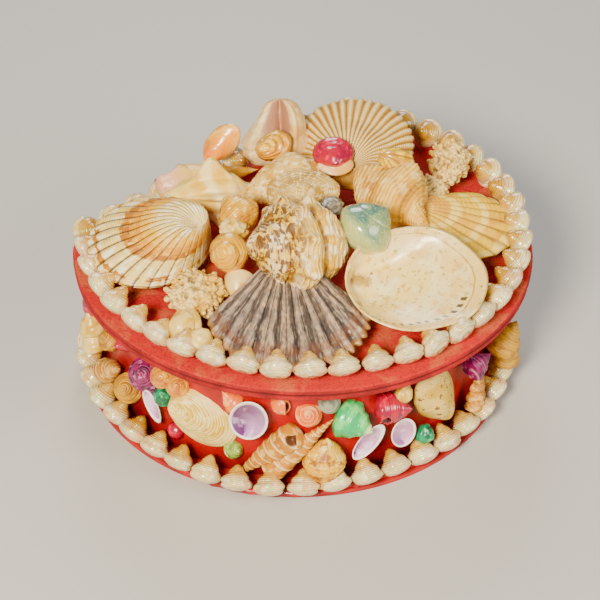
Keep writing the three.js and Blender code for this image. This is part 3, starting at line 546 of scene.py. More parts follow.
FINISHES = {
    # Sea-worn scallop: charcoal rays mottled on taupe, dulled by wear, with a torn brown margin.
    "grey_scallop_shell": look("grey_scallop", "968678", 0.34, 0.15, mottle(4, 0.45, 0.6, "B8A08A"),
        bands("x", 5.5, -0.3, 0.5, "201C20", 0.78, mm=6, jitter=5), streaks(50, 9, 0.54, 0.66, "DCCAB0", 0.4),
        streaks(80, 14, 0.54, 0.62, "2A2428", 0.6), span("y", 0.32, 0.08, "CCA070", 0.7),
        span("y", 0.84, 0.92, "7A4A34", 0.45, stop=(0.94, 0.97), jitter=0.08),
        span("y", 0.95, 0.99, "A87848", 0.6, jitter=0.04), groove("141010", 0.8, 0.4, 0.05), lines=(20, 0.12)),
    # Clam seen from its lining: smooth ivory with a soft shine, age spots, painted shade in a darker ring
    # towards the margin, and inked strokes by the lip.
    "ivory_clam_shell": look("ivory_clam", "F6DC98", 0.3, 0.12, mottle(12, 0.52, 0.68, "DCA888", 0.35),
        mottle(5, 0.46, 0.58, "FBEDB8", 0.85), mottle(2.2, 0.58, 0.68, "BC9448", 0.5),
        mottle(1.2, 0.6, 0.68, "94783C", 0.65), span("y", 0.62, 0.9, "DDB87C", 0.3, mm=6, jitter=0.15),
        span("y", 0.2, 0.1, "8E6A38", 0.7, mm=3, jitter=0.05),
        span("y", 0.93, 0.935, "94703A", 0.6, stop=(0.94, 0.95), jitter=0.02),
        mottle(1, 0.66, 0.72, "5E3E18", 0.85),
        bands("x", 30, -0.1, 0.3, "2A1C0C", 0.9, mm=2, jitter=3.5,
            only=span("y", 0.862, 0.87, mm=2, stop=(0.905, 0.913), jitter=0.02,
            only=span("x", -0.64, -0.62, stop=(-0.12, -0.1), only=span("hollow", 0.4, 0.6)))), lines=(30, 0.12),
        coat=0.25, grain_mm=1.2),
    # Cockle: cream ribs with dirt and painted shade in the gaps, an orange-brown band and a dashed one by the
    # margin.
    "banded_cockle_shell": look("banded_cockle", "F0D692", 0.42, 0.15, mottle(7, 0.45, 0.65, "E2BC68"),
        streaks(26, 7, 0.48, 0.6, "FFF6D8", 0.85),
        span("y", 0.42, 0.6, "F0AC18", 0.7, mm=4, stop=(0.7, 0.76), jitter=0.12),
        span("y", 0.58, 0.6, "DC9000", mm=2, stop=(0.73, 0.76), jitter=0.07,
            only=span("x", -0.85, -0.75, stop=(0.5, 0.6), only=streaks(30, 9, 0.38, 0.46))),
        span("y", 0.66, 0.68, "A86400", 0.85, mm=2, stop=(0.74, 0.76), jitter=0.05,
            only=span("x", -0.8, -0.7, stop=(0.4, 0.5), only=streaks(34, 8, 0.4, 0.48))),
        span("y", 0.92, 0.94, "B87600", mm=2, stop=(0.97, 0.98), jitter=0.04, only=mottle(2.5, 0.45, 0.52)),
        groove("4A3414", 0.9, 0.44, 0.12), inside("E2C98F"), lines=(44, 0.14)),
    # Beach-bleached cockle: chalky rib tops over tan, quite matt.
    "tan_cockle_shell": look("tan_cockle", "E0B46C", 0.55, 0.25, mottle(6, 0.45, 0.65, "CE9848"),
        span("z", 0.5, 0.95, "FBE6B0", 0.95), groove("80582A", 0.8, 0.5, 0.1), inside("DFC28C"),
        lines=(34, 0.25)),
    # Cockle worn to its growth lines: sandy, chalky and matt.
    "worn_cockle_shell": look("tan_cockle", "E4C07C", 0.6, 0.3, mottle(5, 0.45, 0.65, "C89C54"),
        streaks(26, 5, 0.5, 0.62, "FFF0C4", 0.8), groove("8C6830", 0.7, 0.4, 0.05), inside("DFC28C"),
        lines=(30, 0.2)),
    # Thin scallop: butter yellow zones that follow its growth, faintly glossy.
    "cream_scallop_shell": look("cream_scallop", "E4BC58", 0.42, 0.12, mottle(8, 0.45, 0.62, "D09A3C"),
        bands("y", 4, 0.1, 0.9, "F5E094", 0.7, mm=8, jitter=5), span("y", 0.34, 0.08, "B46B28", 0.8),
        groove("8A5E28", 0.8), lines=(22, 0.1)),
    # Knobbly whelk: chalky sand colour on its cords, dirt and painted shade between them, maroon round the
    # spire.
    "knobbly_whelk_shell": look("rough_whelk", "EAC678", 0.46, 0.35, mottle(7, 0.45, 0.62, "D6A858", 0.7),
        mottle(4, 0.48, 0.62, "FFF0C8", 0.7),
        mottle(1.7, 0.46, 0.53, "4A140A", 0.85, warp=0.8, only=span("y", 0.5, 0.34, jitter=0.12)),
        mottle(3, 0.56, 0.64, "A46C24", 0.6), span("z", 0.7, 0.95, "FFF2CC", 0.5),
        groove("5C380E", 0.88, 0.42, 0.12), inside("A87050"), lines=(30, 0.25), grain_mm=0.8),
    # Corded whelk: pale ridges over orange tan, matt.
    "corded_whelk_shell": look("rough_whelk", "E0A84C", 0.55, 0.3, mottle(6, 0.45, 0.65, "C88428"),
        mottle(3, 0.5, 0.62, "F8DFA0", 0.7), span("z", 0.5, 0.95, "F8DFA0", 0.8),
        groove("6C4208", 0.85, 0.45, 0.1), lines=(16, 0.2)),
    # Whelk still rough with sand grains, which scatter the light.
    "sandy_whelk_shell": look("rough_whelk", "E0BC78", 0.6, 0.35, mottle(5, 0.45, 0.62, "C89C54"),
        mottle(1.6, 0.5, 0.62, "F8E2B0"), mottle(1.1, 0.6, 0.68, "A07838", 0.6), groove("745024", 0.75),
        grain_mm=0.9),
    # Smooth conch: porcelain-like cream with a pink end and a low shine.
    "smooth_conch_shell": look("smooth_conch", "EBC985", 0.38, 0.15, mottle(8, 0.45, 0.65, "D6A246"),
        span("y", 0.7, 0.9, "EAB5AA", 0.7), groove("9D6E0A", 0.65), inside("896F52"), coat=0.1),
    # Open conch: matt cream outside, dusky pink in the mouth.
    "open_conch_shell": look("smooth_conch", "E9CC98", 0.45, 0.2, mottle(8, 0.42, 0.62, "DDB078"),
        mottle(2.5, 0.5, 0.65, "F4E2B5"), groove("A87A40", 0.6), inside("A87C68", 0.9), coat=0.05),
    # Spiny conch: pale yellow points over cream, with a mauve shadow.
    "spiny_conch_shell": look("smooth_conch", "F0D48C", 0.42, 0.2, mottle(7, 0.42, 0.62, "E4BC68"),
        mottle(9, 0.54, 0.68, "B8A4A0", 0.7), span("z", 0.7, 1.0, "FBEEB8", 0.8), groove("B08838", 0.6),
        inside("9D828D"), coat=0.05),
    # Polished moon snail: glassy grey-green, white along the seam, bright highlights.
    "green_moon_snail_shell": look("green_shell", "8A9C70", 0.2, 0.06, mottle(5, 0.45, 0.6, "587A6C"),
        span("y", 0.5, 0.8, "C2C888", 0.7, jitter=0.2),
        mottle(2.6, 0.485, 0.5, "E8EAC0", 0.8, stop=(0.5, 0.515), warp=2.0), groove("E6E6B4", 0.9), coat=0.7,
        glow=0.15),
    # Varnished amber snail: light goes a little way in, so it glows.
    "amber_snail_shell": look("amber_shell", "E8AC3C", 0.2, 0.1, mottle(5, 0.42, 0.6, "C07C14", 0.85),
        mottle(2.6, 0.52, 0.68, "FCE4A4", 0.6), groove("6C3404", 0.9), lines=(14, 0.12), coat=0.7, glow=0.15),
    # Jingle shell: thin, waxy and golden, with uneven growth layers.
    "jingle_shell": look("amber_shell", "E09A14", 0.2, 0.12, mottle(4, 0.45, 0.65, "F4CC70"),
        mottle(2, 0.58, 0.68, "B87400", 0.7), inside("DFAE52"), lines=(5, 0.4), coat=0.6, glow=0.1),
    # Dyed gold scallop: bright, glossy, dark between the ribs.
    "gold_dyed_shell": look("gold_shell", "C88E00", 0.25, 0.08, mottle(2.5, 0.45, 0.6, "F4CC20"),
        groove("8A5C0C", 0.8), coat=0.6),
    # Small thin clam: peach with a pale beak and a clear shine.
    "peach_clam_shell": look("pink_shell", "F79A2F", 0.28, 0.06, span("y", 0.6, 1.0, "FAD598", 0.8, jitter=0.1),
        mottle(5, 0.5, 0.68, "EA750A", 0.7), lines=(7, 0.06), coat=0.4, glow=0.1),
    # Shell dyed magenta and varnished: deep, even pink with sharp highlights.
    "magenta_dyed_shell": look("dyed_pink_shell", "B8002C", 0.25, 0.12, mottle(3, 0.5, 0.62, "80003A", 0.7),
        mottle(2, 0.54, 0.66, "E80848"), groove("500018", 0.85), inside("4A0018"), lines=(6, 0.05), coat=0.5),
    # Small clam: plain pale peach.
    "pale_clam_shell": look("dyed_pink_shell", "ECBA7E", 0.35, 0.08, mottle(4, 0.45, 0.6, "F6DCAB"),
        lines=(12, 0.1), coat=0.2),
    # Translucent grey chip of shell, worn smooth.
    "sea_worn_chip": look("cream_shell", "978A70", 0.3, 0.12, mottle(3, 0.45, 0.6, "6E644D"), coat=0.3),
    # Dried coral: chalk, full of tiny pits that hold painted shadow, and painted shade darker in towards the
    # core between its fingers.
    "dried_coral": look("coral", "F8DC9C", 0.75, 0.5, mottle(5, 0.45, 0.65, "E6BC6C"),
        groove("5A3A14", 0.8, 0.5, 0.1), grain_mm=0.8, pits_mm=1.1),
    # Cream snail: soft yellow with a low shine and dark seams.
    "cream_snail_shell": look("cream_shell", "E8CC88", 0.36, 0.1, mottle(4, 0.45, 0.62, "D0AA5C"),
        groove("97680A", 0.7), inside("43280A"), coat=0.15),
    # Waxy white shell, barely shaded.
    "waxy_white_shell": look("cream_shell", "F2D89A", 0.35, 0.1, mottle(4, 0.45, 0.62, "E2BD63"),
        groove("A47A1B", 0.7), coat=0.15),
    # Ridged clam: pale crests over cream, shadow under each crest.
    "ridged_clam_shell": look("cream_shell", "F0D890", 0.42, 0.12, mottle(6, 0.45, 0.62, "E0BC58"),
        mottle(1.4, 0.58, 0.66, "E09880", 0.5), span("z", 0.55, 0.95, "FBF0C0", 0.85),
        groove("94702C", 0.75, 0.35, 0.1)),
    # Smooth clam: putty colour with a few dark specks.
    "speckled_clam_shell": look("cream_shell", "DFC380", 0.38, 0.08, mottle(6, 0.45, 0.62, "C7A55B"),
        mottle(1.3, 0.6, 0.66, "673D0A", 0.85), lines=(22, 0.12), coat=0.1),
    # Tan snail: honey brown, paler on the crests.
    "tan_snail_shell": look("tan_shell", "CC9C48", 0.42, 0.18, mottle(3, 0.45, 0.6, "A87430"),
        span("z", 0.6, 1.0, "F4D48C", 0.85), groove("4A2C0C", 0.9), inside("9A4A04"), lines=(16, 0.12)),
    # Turret shell: pale crests over brown whorls, dark seams, and painted shade dark in the mouth.
    "turret_shell": look("tan_shell", "C48C50", 0.42, 0.18, mottle(4, 0.45, 0.62, "A87038"),
        mottle(1.6, 0.52, 0.62, "ECC888", 0.7), span("z", 0.6, 0.98, "F2D6A8", 0.85),
        groove("4A2A0C", 0.9, 0.36, 0.05), inside("5A3218"), lines=(30, 0.08)),
    # Nutmeg shell: brown blotches on cream, netted with fine cords.
    "nutmeg_snail_shell": look("tan_shell", "E4B251", 0.42, 0.18, mottle(3, 0.48, 0.58, "A66A30"),
        mottle(2.5, 0.54, 0.64, "F6DC8F"), groove("74481E", 0.75)),
    # Varnished orange snail: thin enough to glow at its edges.
    "orange_snail_shell": look("amber_shell", "DC8C18", 0.22, 0.14, mottle(2.4, 0.5, 0.64, "F8C878", 0.7),
        mottle(2, 0.54, 0.64, "A85008", 0.6), groove("6E2C00", 0.9), inside("6A2A0C"), lines=(16, 0.1),
        coat=0.6, glow=0.1),
    # Pink snail: salmon with pale crests and dark seams.
    "pink_snail_shell": look("pink_shell", "F18356", 0.38, 0.12, mottle(3, 0.48, 0.62, "FBC192"),
        span("z", 0.62, 1.0, "FCD6AE", 0.75), groove("964030", 0.85), inside("52150A"), coat=0.15),
    # Purple top shell: deep plum with pale pink seams.
    "purple_top_shell": look("purple_shell", "882458", 0.36, 0.1, mottle(2, 0.46, 0.58, "500E3C"),
        mottle(1.5, 0.56, 0.66, "D088A8"), groove("F4C8CC", 0.95, 0.5, 0.15), lines=(14, 0.1), coat=0.2),
    # Lining of a small clam: porcelain white stained with lilac.
    "lilac_clam_lining": look("lilac_shell", "E4C8D8", 0.2, 0.05, mottle(3, 0.42, 0.6, "D09CC0"),
        span("x", 0.0, 0.7, "7C4488", 0.75, mm=4, jitter=0.5), span("y", 0.88, 0.94, "FFF8F0"), lines=(8, 0.1),
        coat=0.5, glow=0.1),
    # Lining of a clam: glossy lilac, deep purple to one side, white lip.
    "purple_clam_lining": look("lilac_shell", "C498C4", 0.16, 0.05,
        span("x", -0.2, 0.6, "4E2054", 0.85, mm=5, jitter=0.5), mottle(3, 0.52, 0.64, "E4C0DC", 0.6),
        span("y", 0.9, 0.95, "FFF6EC"), lines=(6, 0.08), coat=0.7),
    # Shell dyed green and varnished, paler at its point.
    "green_dyed_shell": look("green_shell", "32B367", 0.28, 0.08, mottle(3, 0.48, 0.62, "89D989"),
        groove("0C5232", 0.9), span("y", 0.2, 0.08, "E5EDAF", 0.9), coat=0.4),
    # Shell dyed dark green, with painted shade nearly black in its mouth.
    "dark_green_dyed_shell": look("green_shell", "0A8F5A", 0.28, 0.08, mottle(2.5, 0.45, 0.58, "0A5D39"),
        mottle(1.8, 0.57, 0.67, "8CD098"), groove("0C3828", 0.85), inside("080E0C"), coat=0.4),
    # Shell lightly dyed green, mottled.
    "light_green_dyed_shell": look("green_shell", "A0B464", 0.3, 0.08, mottle(2.5, 0.45, 0.6, "7A9450"),
        mottle(1.8, 0.55, 0.66, "D0D49C"), groove("46601C", 0.85), lines=(10, 0.1), coat=0.3),
    # Plain grey snail, dull.
    "grey_snail_shell": look("green_shell", "9C9C86", 0.35, 0.08, mottle(3, 0.45, 0.6, "696F61"),
        groove("3E3E36", 0.8), coat=0.2),
    # Ordinary cockles: straw colour, banded by their growth, dirt and painted shade between the ribs.
    "fan_cockle_shell": look("tan_cockle", "E4CA94", 0.5, 0.15, mottle(7, 0.45, 0.62, "D4B070"),
        bands("y", 3, 0.6, 0.98, "BC8848", 0.5, mm=9, jitter=3), groove("7A5420", 0.8), lines=(18, 0.12)),
    # Top shells polished down to the nacre: pale below, with the pearl sheen painted in as green, pink and
    # white flecks, gold towards the point.
    "polished_pearl_shell": look("pearl_shell", "F0DCA8", 0.12, 0.06, mottle(2.6, 0.5, 0.62, "9CC890", 0.4),
        mottle(2.1, 0.53, 0.63, "E89878", 0.4, warp=0.6), mottle(1.6, 0.52, 0.64, "FFF8E4", 0.6),
        span("y", 0.62, 0.4, "CC9C4C", 0.75, mm=3, jitter=0.16),
        span("tint", 0.4, 0.95, "B07830", 0.5, only=span("y", 0.75, 0.45)),
        bands("y", 14, 0.5, 1.0, "6E5424", 0.6, mm=4, jitter=5, only=mottle(4, 0.4, 0.5)),
        span("y", 0.16, 0.04, "9A661E", 0.7, jitter=0.06), groove("6E4A14", 0.7), lines=(16, 0.08), coat=1.0,
        film=380, bump=0.8),
}

# ---- Tables of shells ----------------------------------------------------------------------------------


def spiral(*sizes, **rest):
    """A spiral shell to be made: its outline, and its length and width in millimetres."""
    return partial(spiral_shell, *sizes, **rest)


def clam(*sizes, **rest):
    """One valve to be made: its width, height and depth in millimetres."""
    return partial(valve, *sizes, **rest)


def stone(*size, **rest):
    return lambda seed: lump(size, **rest)


def coral(x, y, z, fingers):
    return partial(branching_coral, (x, y, z), fingers)


MEDIUM = dict(sides=72, rings=72)
# Name (with its CAD node after a colon where that is another), finish, where it sits (across, ahead and up on
# the lid; bearing, height and radius on the wall), its turn, lean and roll, and its form.
LID_SHELLS = [
    ("scallop_grey", "grey_scallop_shell", (-5, -60, 8.5), (274, -3), clam(62, 58, 9, beak=(0, 0.97), ribs=19,
     rib_depth=0.9, fan=0.84, ears=9, frill=0.03, steps=9, step=0.35, rough=0.3)),
    ("clam_ivory", "ivory_clam_shell", (44, -48, 18.5), (4, 0, -158), clam(49, 56, 13, thickness=2.2,
     beak=(0.25, 0.86), fan=2.4, steps=12, step=0.2, rough=0.35, rough_mm=5, uneven=0.02, scars=0.5, rows=64)),
    ("cockle_left", "banded_cockle_shell", (-61, -15, 9.5), (168, 2, -4), clam(54, 49, 18, beak=(0, 0.95),
     ribs=30, rib_depth=0.7, sharp=0.5, frill=0.012, steps=12, step=0.08, crown=0.4)),
    ("cockle_back", "tan_cockle_shell", (21, 45, 17), (82, 22), clam(50, 46, 15, beak=(0, 0.94), rows=34,
     ribs=44, rib_depth=0.42, sharp=0.6, frill=0.012, steps=14, step=0.25, crown=0.5)),
    ("scallop_cream", "cream_scallop_shell", (64, 3, 6.5), (-9, 0, -4), clam(52, 46, 7, beak=(0, 0.97), rows=32,
     ribs=9, rib_depth=1.3, sharp=0.6, fan=0.84, ears=8)),
    ("murex_centre", "knobbly_whelk_shell", (-2, -35, 24), (207, 18, 150), spiral("rough", 46, 37, whorls=3.6,
     pinch=0.34, knobs=9, knob=0.18, spiky=1.8, lip=0.2, cords=7, cord=0.3, rough=0.4, rough_mm=4, sides=128,
     rings=120)),
    ("murex_back", "corded_whelk_shell", (36, 4, 18), (-44, -12, 150), spiral("murex", 40, 32, whorls=3,
     pinch=0.16, knobs=6, knob=0.1, lip=0.3, cords=9, cord=0.22, rough=0.6, rough_mm=3, sides=120, rings=110)),
    ("moon_snail_green", "green_moon_snail_shell", (25, -26, 27), (20, 40), spiral("moon", 21, 23, whorls=2,
     pinch=0.08, sides=80, rings=80)),
    ("whelk_long", "smooth_conch_shell", (-40, 29, 10), (19,), spiral("horn", 45, 16, whorls=5, pinch=0.1,
     rough=0.3, sides=72, rings=80, mouth=(0.88, 0.9, 0.16, 0.16, 0.5, 0.5))),
    ("whelk_sandy", "sandy_whelk_shell", (-3, 18, 18), (31,), spiral("whelk", 52, 23.5, whorls=4, pinch=0.14,
     rough=0.5, rough_mm=3, sides=80, rings=90)),
    ("cockle_small", "worn_cockle_shell", (0, 1, 24), (80, 15), clam(30, 26, 9, steps=17, step=0.5, crown=0.6,
     rough=0.5, rough_mm=2.5, uneven=0.02, rows=64, columns=90)),
    ("conch_upright", "open_conch_shell", (-9, 43, 17), (280, -68, -22), spiral("conch", 40, 31, whorls=4,
     lip=0.9, rough=0.3, mouth=(0.11, 0.88, 0.12, 0.5, 0.85, 0.8), sides=112, rings=120)),
    ("conch_spiky", "spiny_conch_shell", (-35, 9, 16), (8,), spiral("murex", 44, 19, whorls=2, knobs=6,
     knob=0.8, spiky=5, pinch=0.2, cords=2, cord=0.2, rough=0.3, rough_mm=4,
     mouth=(0.78, 0.62, 0.13, 0.2, 0.6, 0.5), sides=110, rings=110)),
    ("slipper_pink", "peach_clam_shell", (-34, 41, 20), (0, 50, 75), clam(13, 21, 6, rows=24, columns=60,
     uneven=0.02)),
    ("jingle_amber", "jingle_shell", (-12, 30, 26), (20, 12, 45), clam(13, 17, 5, rows=24, columns=60,
     rough=0.9, uneven=0.04)),
    ("clam_magenta:clam_magenta_pair", "magenta_dyed_shell", (12, 25, 26), (92, 42), clam(17, 14, 6, rows=24,
     columns=60, rough=0.35)),
    ("valve_pale:clam_magenta_pair", "pale_clam_shell", (13, 20.5, 23.5), (270, -20), clam(15, 11, 3, rows=20,
     columns=50)),
    ("valve_gold", "gold_dyed_shell", (37, 12, 32), (-20, -4, 35), clam(11, 15, 4, thickness=1.2, ribs=11,
     rib_depth=0.35, rows=24, inner_ribs=0.8)),
    ("chip_grey", "sea_worn_chip", (11, -13, 27), (), stone(12, 9, 3, grain=0, detail=4)),
    ("coral_back_upper:coral_back", "dried_coral", (61, 40, 11), (), coral(27, 20, 21, 70)),
    ("coral_back_lower:coral_back", "dried_coral", (53, 27, 7), (), coral(18, 15, 11, 36)),
    ("coral_front", "dried_coral", (-41, -46, 8), (), coral(31, 27, 17, 80)),
    ("snail_amber", "amber_snail_shell", (-29, -36, 21), (250, 30), spiral("moon", 16, 16, whorls=2.5,
     pinch=0.18, rough=0.3, sides=64, rings=64)),
    ("snail_amber_back:snail_and_pebble", "amber_snail_shell", (-26, -13, 23), (140, 30), spiral("moon", 17, 17,
     whorls=2, rough=0.6, sides=64, rings=64)),
    ("pebble_white:snail_and_pebble", "waxy_white_shell", (-27, -22.5, 22), (), stone(12, 11, 9, grain=0.15,
     detail=4)),
    ("snail_cream:snails_cream", "cream_snail_shell", (-45, -65, 7), (200, 30), spiral("moon", 13, 16, whorls=3,
     pinch=0.2, cords=2, cord=0.15, sides=64, rings=64)),
    ("snail_cream_small:snails_cream", "cream_snail_shell", (-38, -72, 7), (30, 50), spiral("moon", 10, 12,
     whorls=3, pinch=0.2, cords=2, cord=0.12, sides=56, rings=56)),
    ("cone_white", "waxy_white_shell", (-25, -44, 9), (262, -10), spiral("top", 14, 13, whorls=2, sides=56,
     rings=56)),
]

WALL_SHELLS = [
    ("top_magenta:shells_left_end", "magenta_dyed_shell", (-170, 36, 87), (70, 20), spiral("top", 13, 11,
     cords=3, cord=0.15)),
    ("top_yellow:shells_left_end", "cream_snail_shell", (-169, 26.5, 88), (90, 10), spiral("top", 12, 12)),
    ("top_cream:shells_left_end", "waxy_white_shell", (-167, 19.5, 88), (90, 10), spiral("top", 10, 11)),
    ("snail_open_brown", "tan_snail_shell", (-156, 31, 85), (80, 30), spiral("moon", 11, 9,
     mouth=(0.1, 0.7, 0.13, 0.2, 0.6, 0.3))),
    ("trochus_pink_small", "magenta_dyed_shell", (-147, 39, 85), (0, 80), spiral("top", 7, 9)),
    ("whelk_tan", "turret_shell", (-151, 22, 87), (40,), spiral("turret", 23, 11, pinch=0.2, cords=3,
     cord=0.12)),
    ("trochus_purple", "purple_top_shell", (-136.6, 34, 85), (55, 40), spiral("turban", 10, 14, pinch=0.14,
     cords=2, cord=0.15, **MEDIUM)),
    ("snail_orange_left:snails_orange", "orange_snail_shell", (-129.3, 39, 85), (55, 45), spiral("moon", 8.5,
     10, pinch=0.16)),
    ("snail_orange_right:snails_orange", "orange_snail_shell", (-124, 38.5, 85), (58, 45), spiral("moon", 8.5,
     10, pinch=0.16)),
    ("snail_green_dark", "dark_green_dyed_shell", (-129.1, 29, 85), (55, 45), spiral("moon", 7, 8.5,
     pinch=0.16)),
    ("trochus_tan", "tan_snail_shell", (-143.8, 20, 86), (50, 38), spiral("turban", 10, 13, pinch=0.18,
     **MEDIUM)),
    ("valve_lilac_left", "lilac_clam_lining", (-132.4, 22, 87), (-60, 0, 180), clam(8, 15, 3.5, thickness=1,
     rows=20, crown=0.62, columns=50)),
    ("bead_magenta", "magenta_dyed_shell", (-126, 13, 84), (), stone(7, 7, 6, grain=0, rough=0.1, detail=3)),
    ("clam_ridged", "ridged_clam_shell", (-117.2, 25.5, 82), (-25, 0, -12), clam(25, 30, 8, steps=22, step=0.3,
     rows=64)),
    ("cone_pink", "pink_snail_shell", (-109, 40.5, 84), (130, 10), spiral("top", 9, 9)),
    ("valve_purple", "purple_clam_lining", (-103, 35.5, 89), (75, 0, 180), clam(15, 20, 5, thickness=1.2,
     rows=24, crown=0.62, columns=60)),
    ("trochus_pink_hole", "pink_snail_shell", (-95.7, 41, 84), (180, 50), spiral("moon", 7, 9,
     mouth=(0.0, 0.62, 0.14, 0.22, 0.6, 0.2))),
    ("snail_light_green", "light_green_dyed_shell", (-107.6, 14.6, 84), (40, 40), spiral("turban", 9, 8.5,
     pinch=0.16)),
    ("turret_left", "turret_shell", (-99, 17.5, 87), (-133,), spiral("turret", 36, 11.5, whorls=11, pinch=0.13,
     cords=2, cord=0.1, mouth=(0.02, 0.95, 0.11, 0.055, 0.7, 0.15), sides=48, rings=150)),
    ("turret_right", "turret_shell", (-90, 23, 87), (49,), spiral("turret", 38, 10, whorls=11, pinch=0.13,
     cords=2, cord=0.1, sides=48, rings=150)),
    ("snail_pink", "pink_snail_shell", (-88.2, 36.5, 84), (92, 55), spiral("turban", 8, 10.5, pinch=0.18,
     cords=2, cord=0.12, **MEDIUM)),
    ("snail_grey", "grey_snail_shell", (-82.8, 42, 84), (98, 55), spiral("turban", 7, 9, pinch=0.16)),
    ("trochus_green", "green_dyed_shell", (-76.3, 32.6, 86), (-20, 40), spiral("turban", 16, 17, whorls=4,
     pinch=0.2, cords=2, cord=0.15, sides=72, rings=80)),
    ("turban_pink:turban_pink_pair", "magenta_dyed_shell", (-65.7, 35, 86), (-10, 15), spiral("turban", 15, 13,
     whorls=4, pinch=0.18, cords=4, cord=0.2, mouth=(0.1, 0.72, 0.12, 0.14, 0.6, 0.2), sides=80, rings=90)),
    ("snail_white:turban_pink_pair", "cream_snail_shell", (-62.4, 39.5, 85), (0, 70), spiral("moon", 7, 8.5,
     mouth=(0.5, 0.6, 0.14, 0.2, 0.6, 0.2))),
    ("nutmeg_shell", "nutmeg_snail_shell", (-84.1, 16, 88), (85,), spiral("nutmeg", 24, 17, cords=4, cord=0.16,
     ribs=22, rib=0.12, sides=90, rings=80)),
    ("valve_lilac_middle", "lilac_clam_lining", (-72.5, 21.7, 87), (55, 0, 180), clam(9, 19, 3.5, thickness=1,
     rows=20, crown=0.62, columns=50)),
    ("valve_lilac_right", "lilac_clam_lining", (-62.8, 21.7, 87), (100, 0, 180), clam(11, 15, 3.5, thickness=1,
     rows=20, crown=0.62, columns=50)),
    ("snail_teal", "dark_green_dyed_shell", (-55.5, 15, 86), (0, 70), spiral("moon", 8, 8.5,
     mouth=(0.5, 0.6, 0.14, 0.22, 0.7, 0.2))),
    ("clam_grey", "speckled_clam_shell", (-52, 32.5, 83), (110,), clam(19, 27, 7, rows=30, columns=70)),
    ("trochus_purple_right", "purple_top_shell", (-34.3, 33, 85), (10, 15), spiral("top", 13, 12, cords=3,
     cord=0.15)),
    ("turret_worm", "turret_shell", (-33.9, 20, 85), (75,), spiral("turret", 22, 8, whorls=7, pinch=0.3,
     rough=0.3, sides=56, rings=100)),
    ("turban_tan:shells_right_end", "tan_snail_shell", (-17.7, 27.5, 87), (60, 20), spiral("turban", 17, 15,
     pinch=0.16, **MEDIUM)),
    ("top_tan:shells_right_end", "tan_snail_shell", (-14.8, 18.5, 87), (90, 10), spiral("top", 14, 13)),
]


@cache
def finish(name):
    """The slot and the material of a finish, made once."""
    slot, parts = FINISHES[name]
    return slot, shell_finish(name, **parts)


entries = [(on_lid, *entry) for entry in LID_SHELLS] + [(on_wall, *entry) for entry in WALL_SHELLS]
for number, (seat, names, surface, at, lie, form) in enumerate(entries, 1):
    name, _, node = names.partition(":")
    points, faces, marks = form(seed=float(number))
    make_piece(name + "_fine", node or name, *finish(surface), placed(points, seat(*at), *lie), faces, marks)

# ---- The rows of pearly top shells ---------------------------------------------------------------------

PEARLS, PEARL_LENGTH = 42, 12.0
PEARL_START = 190.1              # bearing of the first shell of each row
TUCKED = {14: 18, 15: 20}        # shells of the lid's row that lie lower under the ivory clam, in degrees


def row_seats(inset, z, shift):
    """Seats evenly spaced along the outline, with the way along the row kept for the glue line."""
    outline = plan_outline(inset)
    closed = np.concatenate([outline, outline[:1]])
    steps = np.linalg.norm(np.diff(closed, axis=0), axis=1)
    lengths = np.concatenate([[0], np.cumsum(steps)])
    bearing = np.arctan2(outline[:, 1], outline[:, 0]) - (PEARL_START * DEG - SHOW_TURN)
    start = lengths[np.argmin(np.abs(np.arctan2(np.sin(bearing), np.cos(bearing))))]
    seats = []
    for k in range(PEARLS):
        along = (start + k * lengths[-1] / PEARLS) % lengths[-1]
        i = int(np.searchsorted(lengths, along, side="right"))
        step = (closed[i] - closed[i - 1]) / steps[i - 1]
        place = closed[i - 1] + step * (along - lengths[i - 1])
        out = spun(np.array([step[1], -step[0], 0.0]), SHOW_TURN)
        at = spun(np.array([place[0], place[1], z]), SHOW_TURN)
        at[:2] += shift(out)
        seats.append(dict(at=at, right=-out, up=np.cross([0, 0, 1], out), out=(0, 0, 1)))
    return seats


def base_row_shift(out):
    """The base row is off the lid's centre with the base, and bulges outward at the front."""
    turn = (math.degrees(math.atan2(out[1], out[0])) + 100 + 180) % 360 - 180
    return np.array(BASE_SHIFT) + 4 * math.exp(-(turn / 22) ** 2) * out[:2]


def pearl_row(name, node, seats, lean, tucked):
    """A row of top shells that lean inward, all about alike, some of them tucked lower by so many degrees."""
    width = np.linalg.norm(np.array(seats[1]["at"]) - np.array(seats[0]["at"]))
    shells = []
    for k, seat in enumerate(seats):
        points, faces, marks = spiral_shell(
            "pearl", PEARL_LENGTH * rng.uniform(0.88, 0.98), width * rng.uniform(0.98, 1.05), whorls=3.2,
            pinch=0.22, cords=2, cord=0.06, sides=28, rings=32, middle=PEARL_LENGTH * 0.3)
        lie = dict(lean=lean + rng.uniform(-5, 5) - tucked.get(k, 0), turn=rng.uniform(-7, 7))
        turned = rng.uniform(0, TURN)
        c, s = math.cos(turned), math.sin(turned)
        points = points @ np.array([[c, 0, -s], [0, 1, 0], [s, 0, c]])
        marks["tint"] = np.full(len(points), rng.uniform(0, 1))
        shells.append((placed(points, seat, **lie), faces, marks))
    make_piece(name, node, *finish("polished_pearl_shell"), *join(shells))


base_seats = row_seats(inset=5, z=6.5, shift=base_row_shift)
lid_seats = row_seats(inset=4, z=LID_TOP + 5.6, shift=lambda out: 0)
pearl_row("lid_pearls", "lid_pearl_row", lid_seats, lean=35, tucked=TUCKED)
pearl_row("base_pearls", "base_pearl_row", base_seats, lean=45, tucked={})

# ---- The plain fans of the hidden sides ----------------------------------------------------------------


def fans(name, node, seats):
    shells = []
    for k, seat in enumerate(seats):
        points, faces, marks = valve(34, 29, 7, beak=(0, 0.94), ribs=17, rib_depth=0.6, steps=8, step=0.25,
                                     rows=14, columns=80, frill=0.02, seed=k + 1.0)
        shells.append((placed(points, seat, turn=90), faces, marks))
    make_piece(name, node, *finish("fan_cockle_shell"), *join(shells))


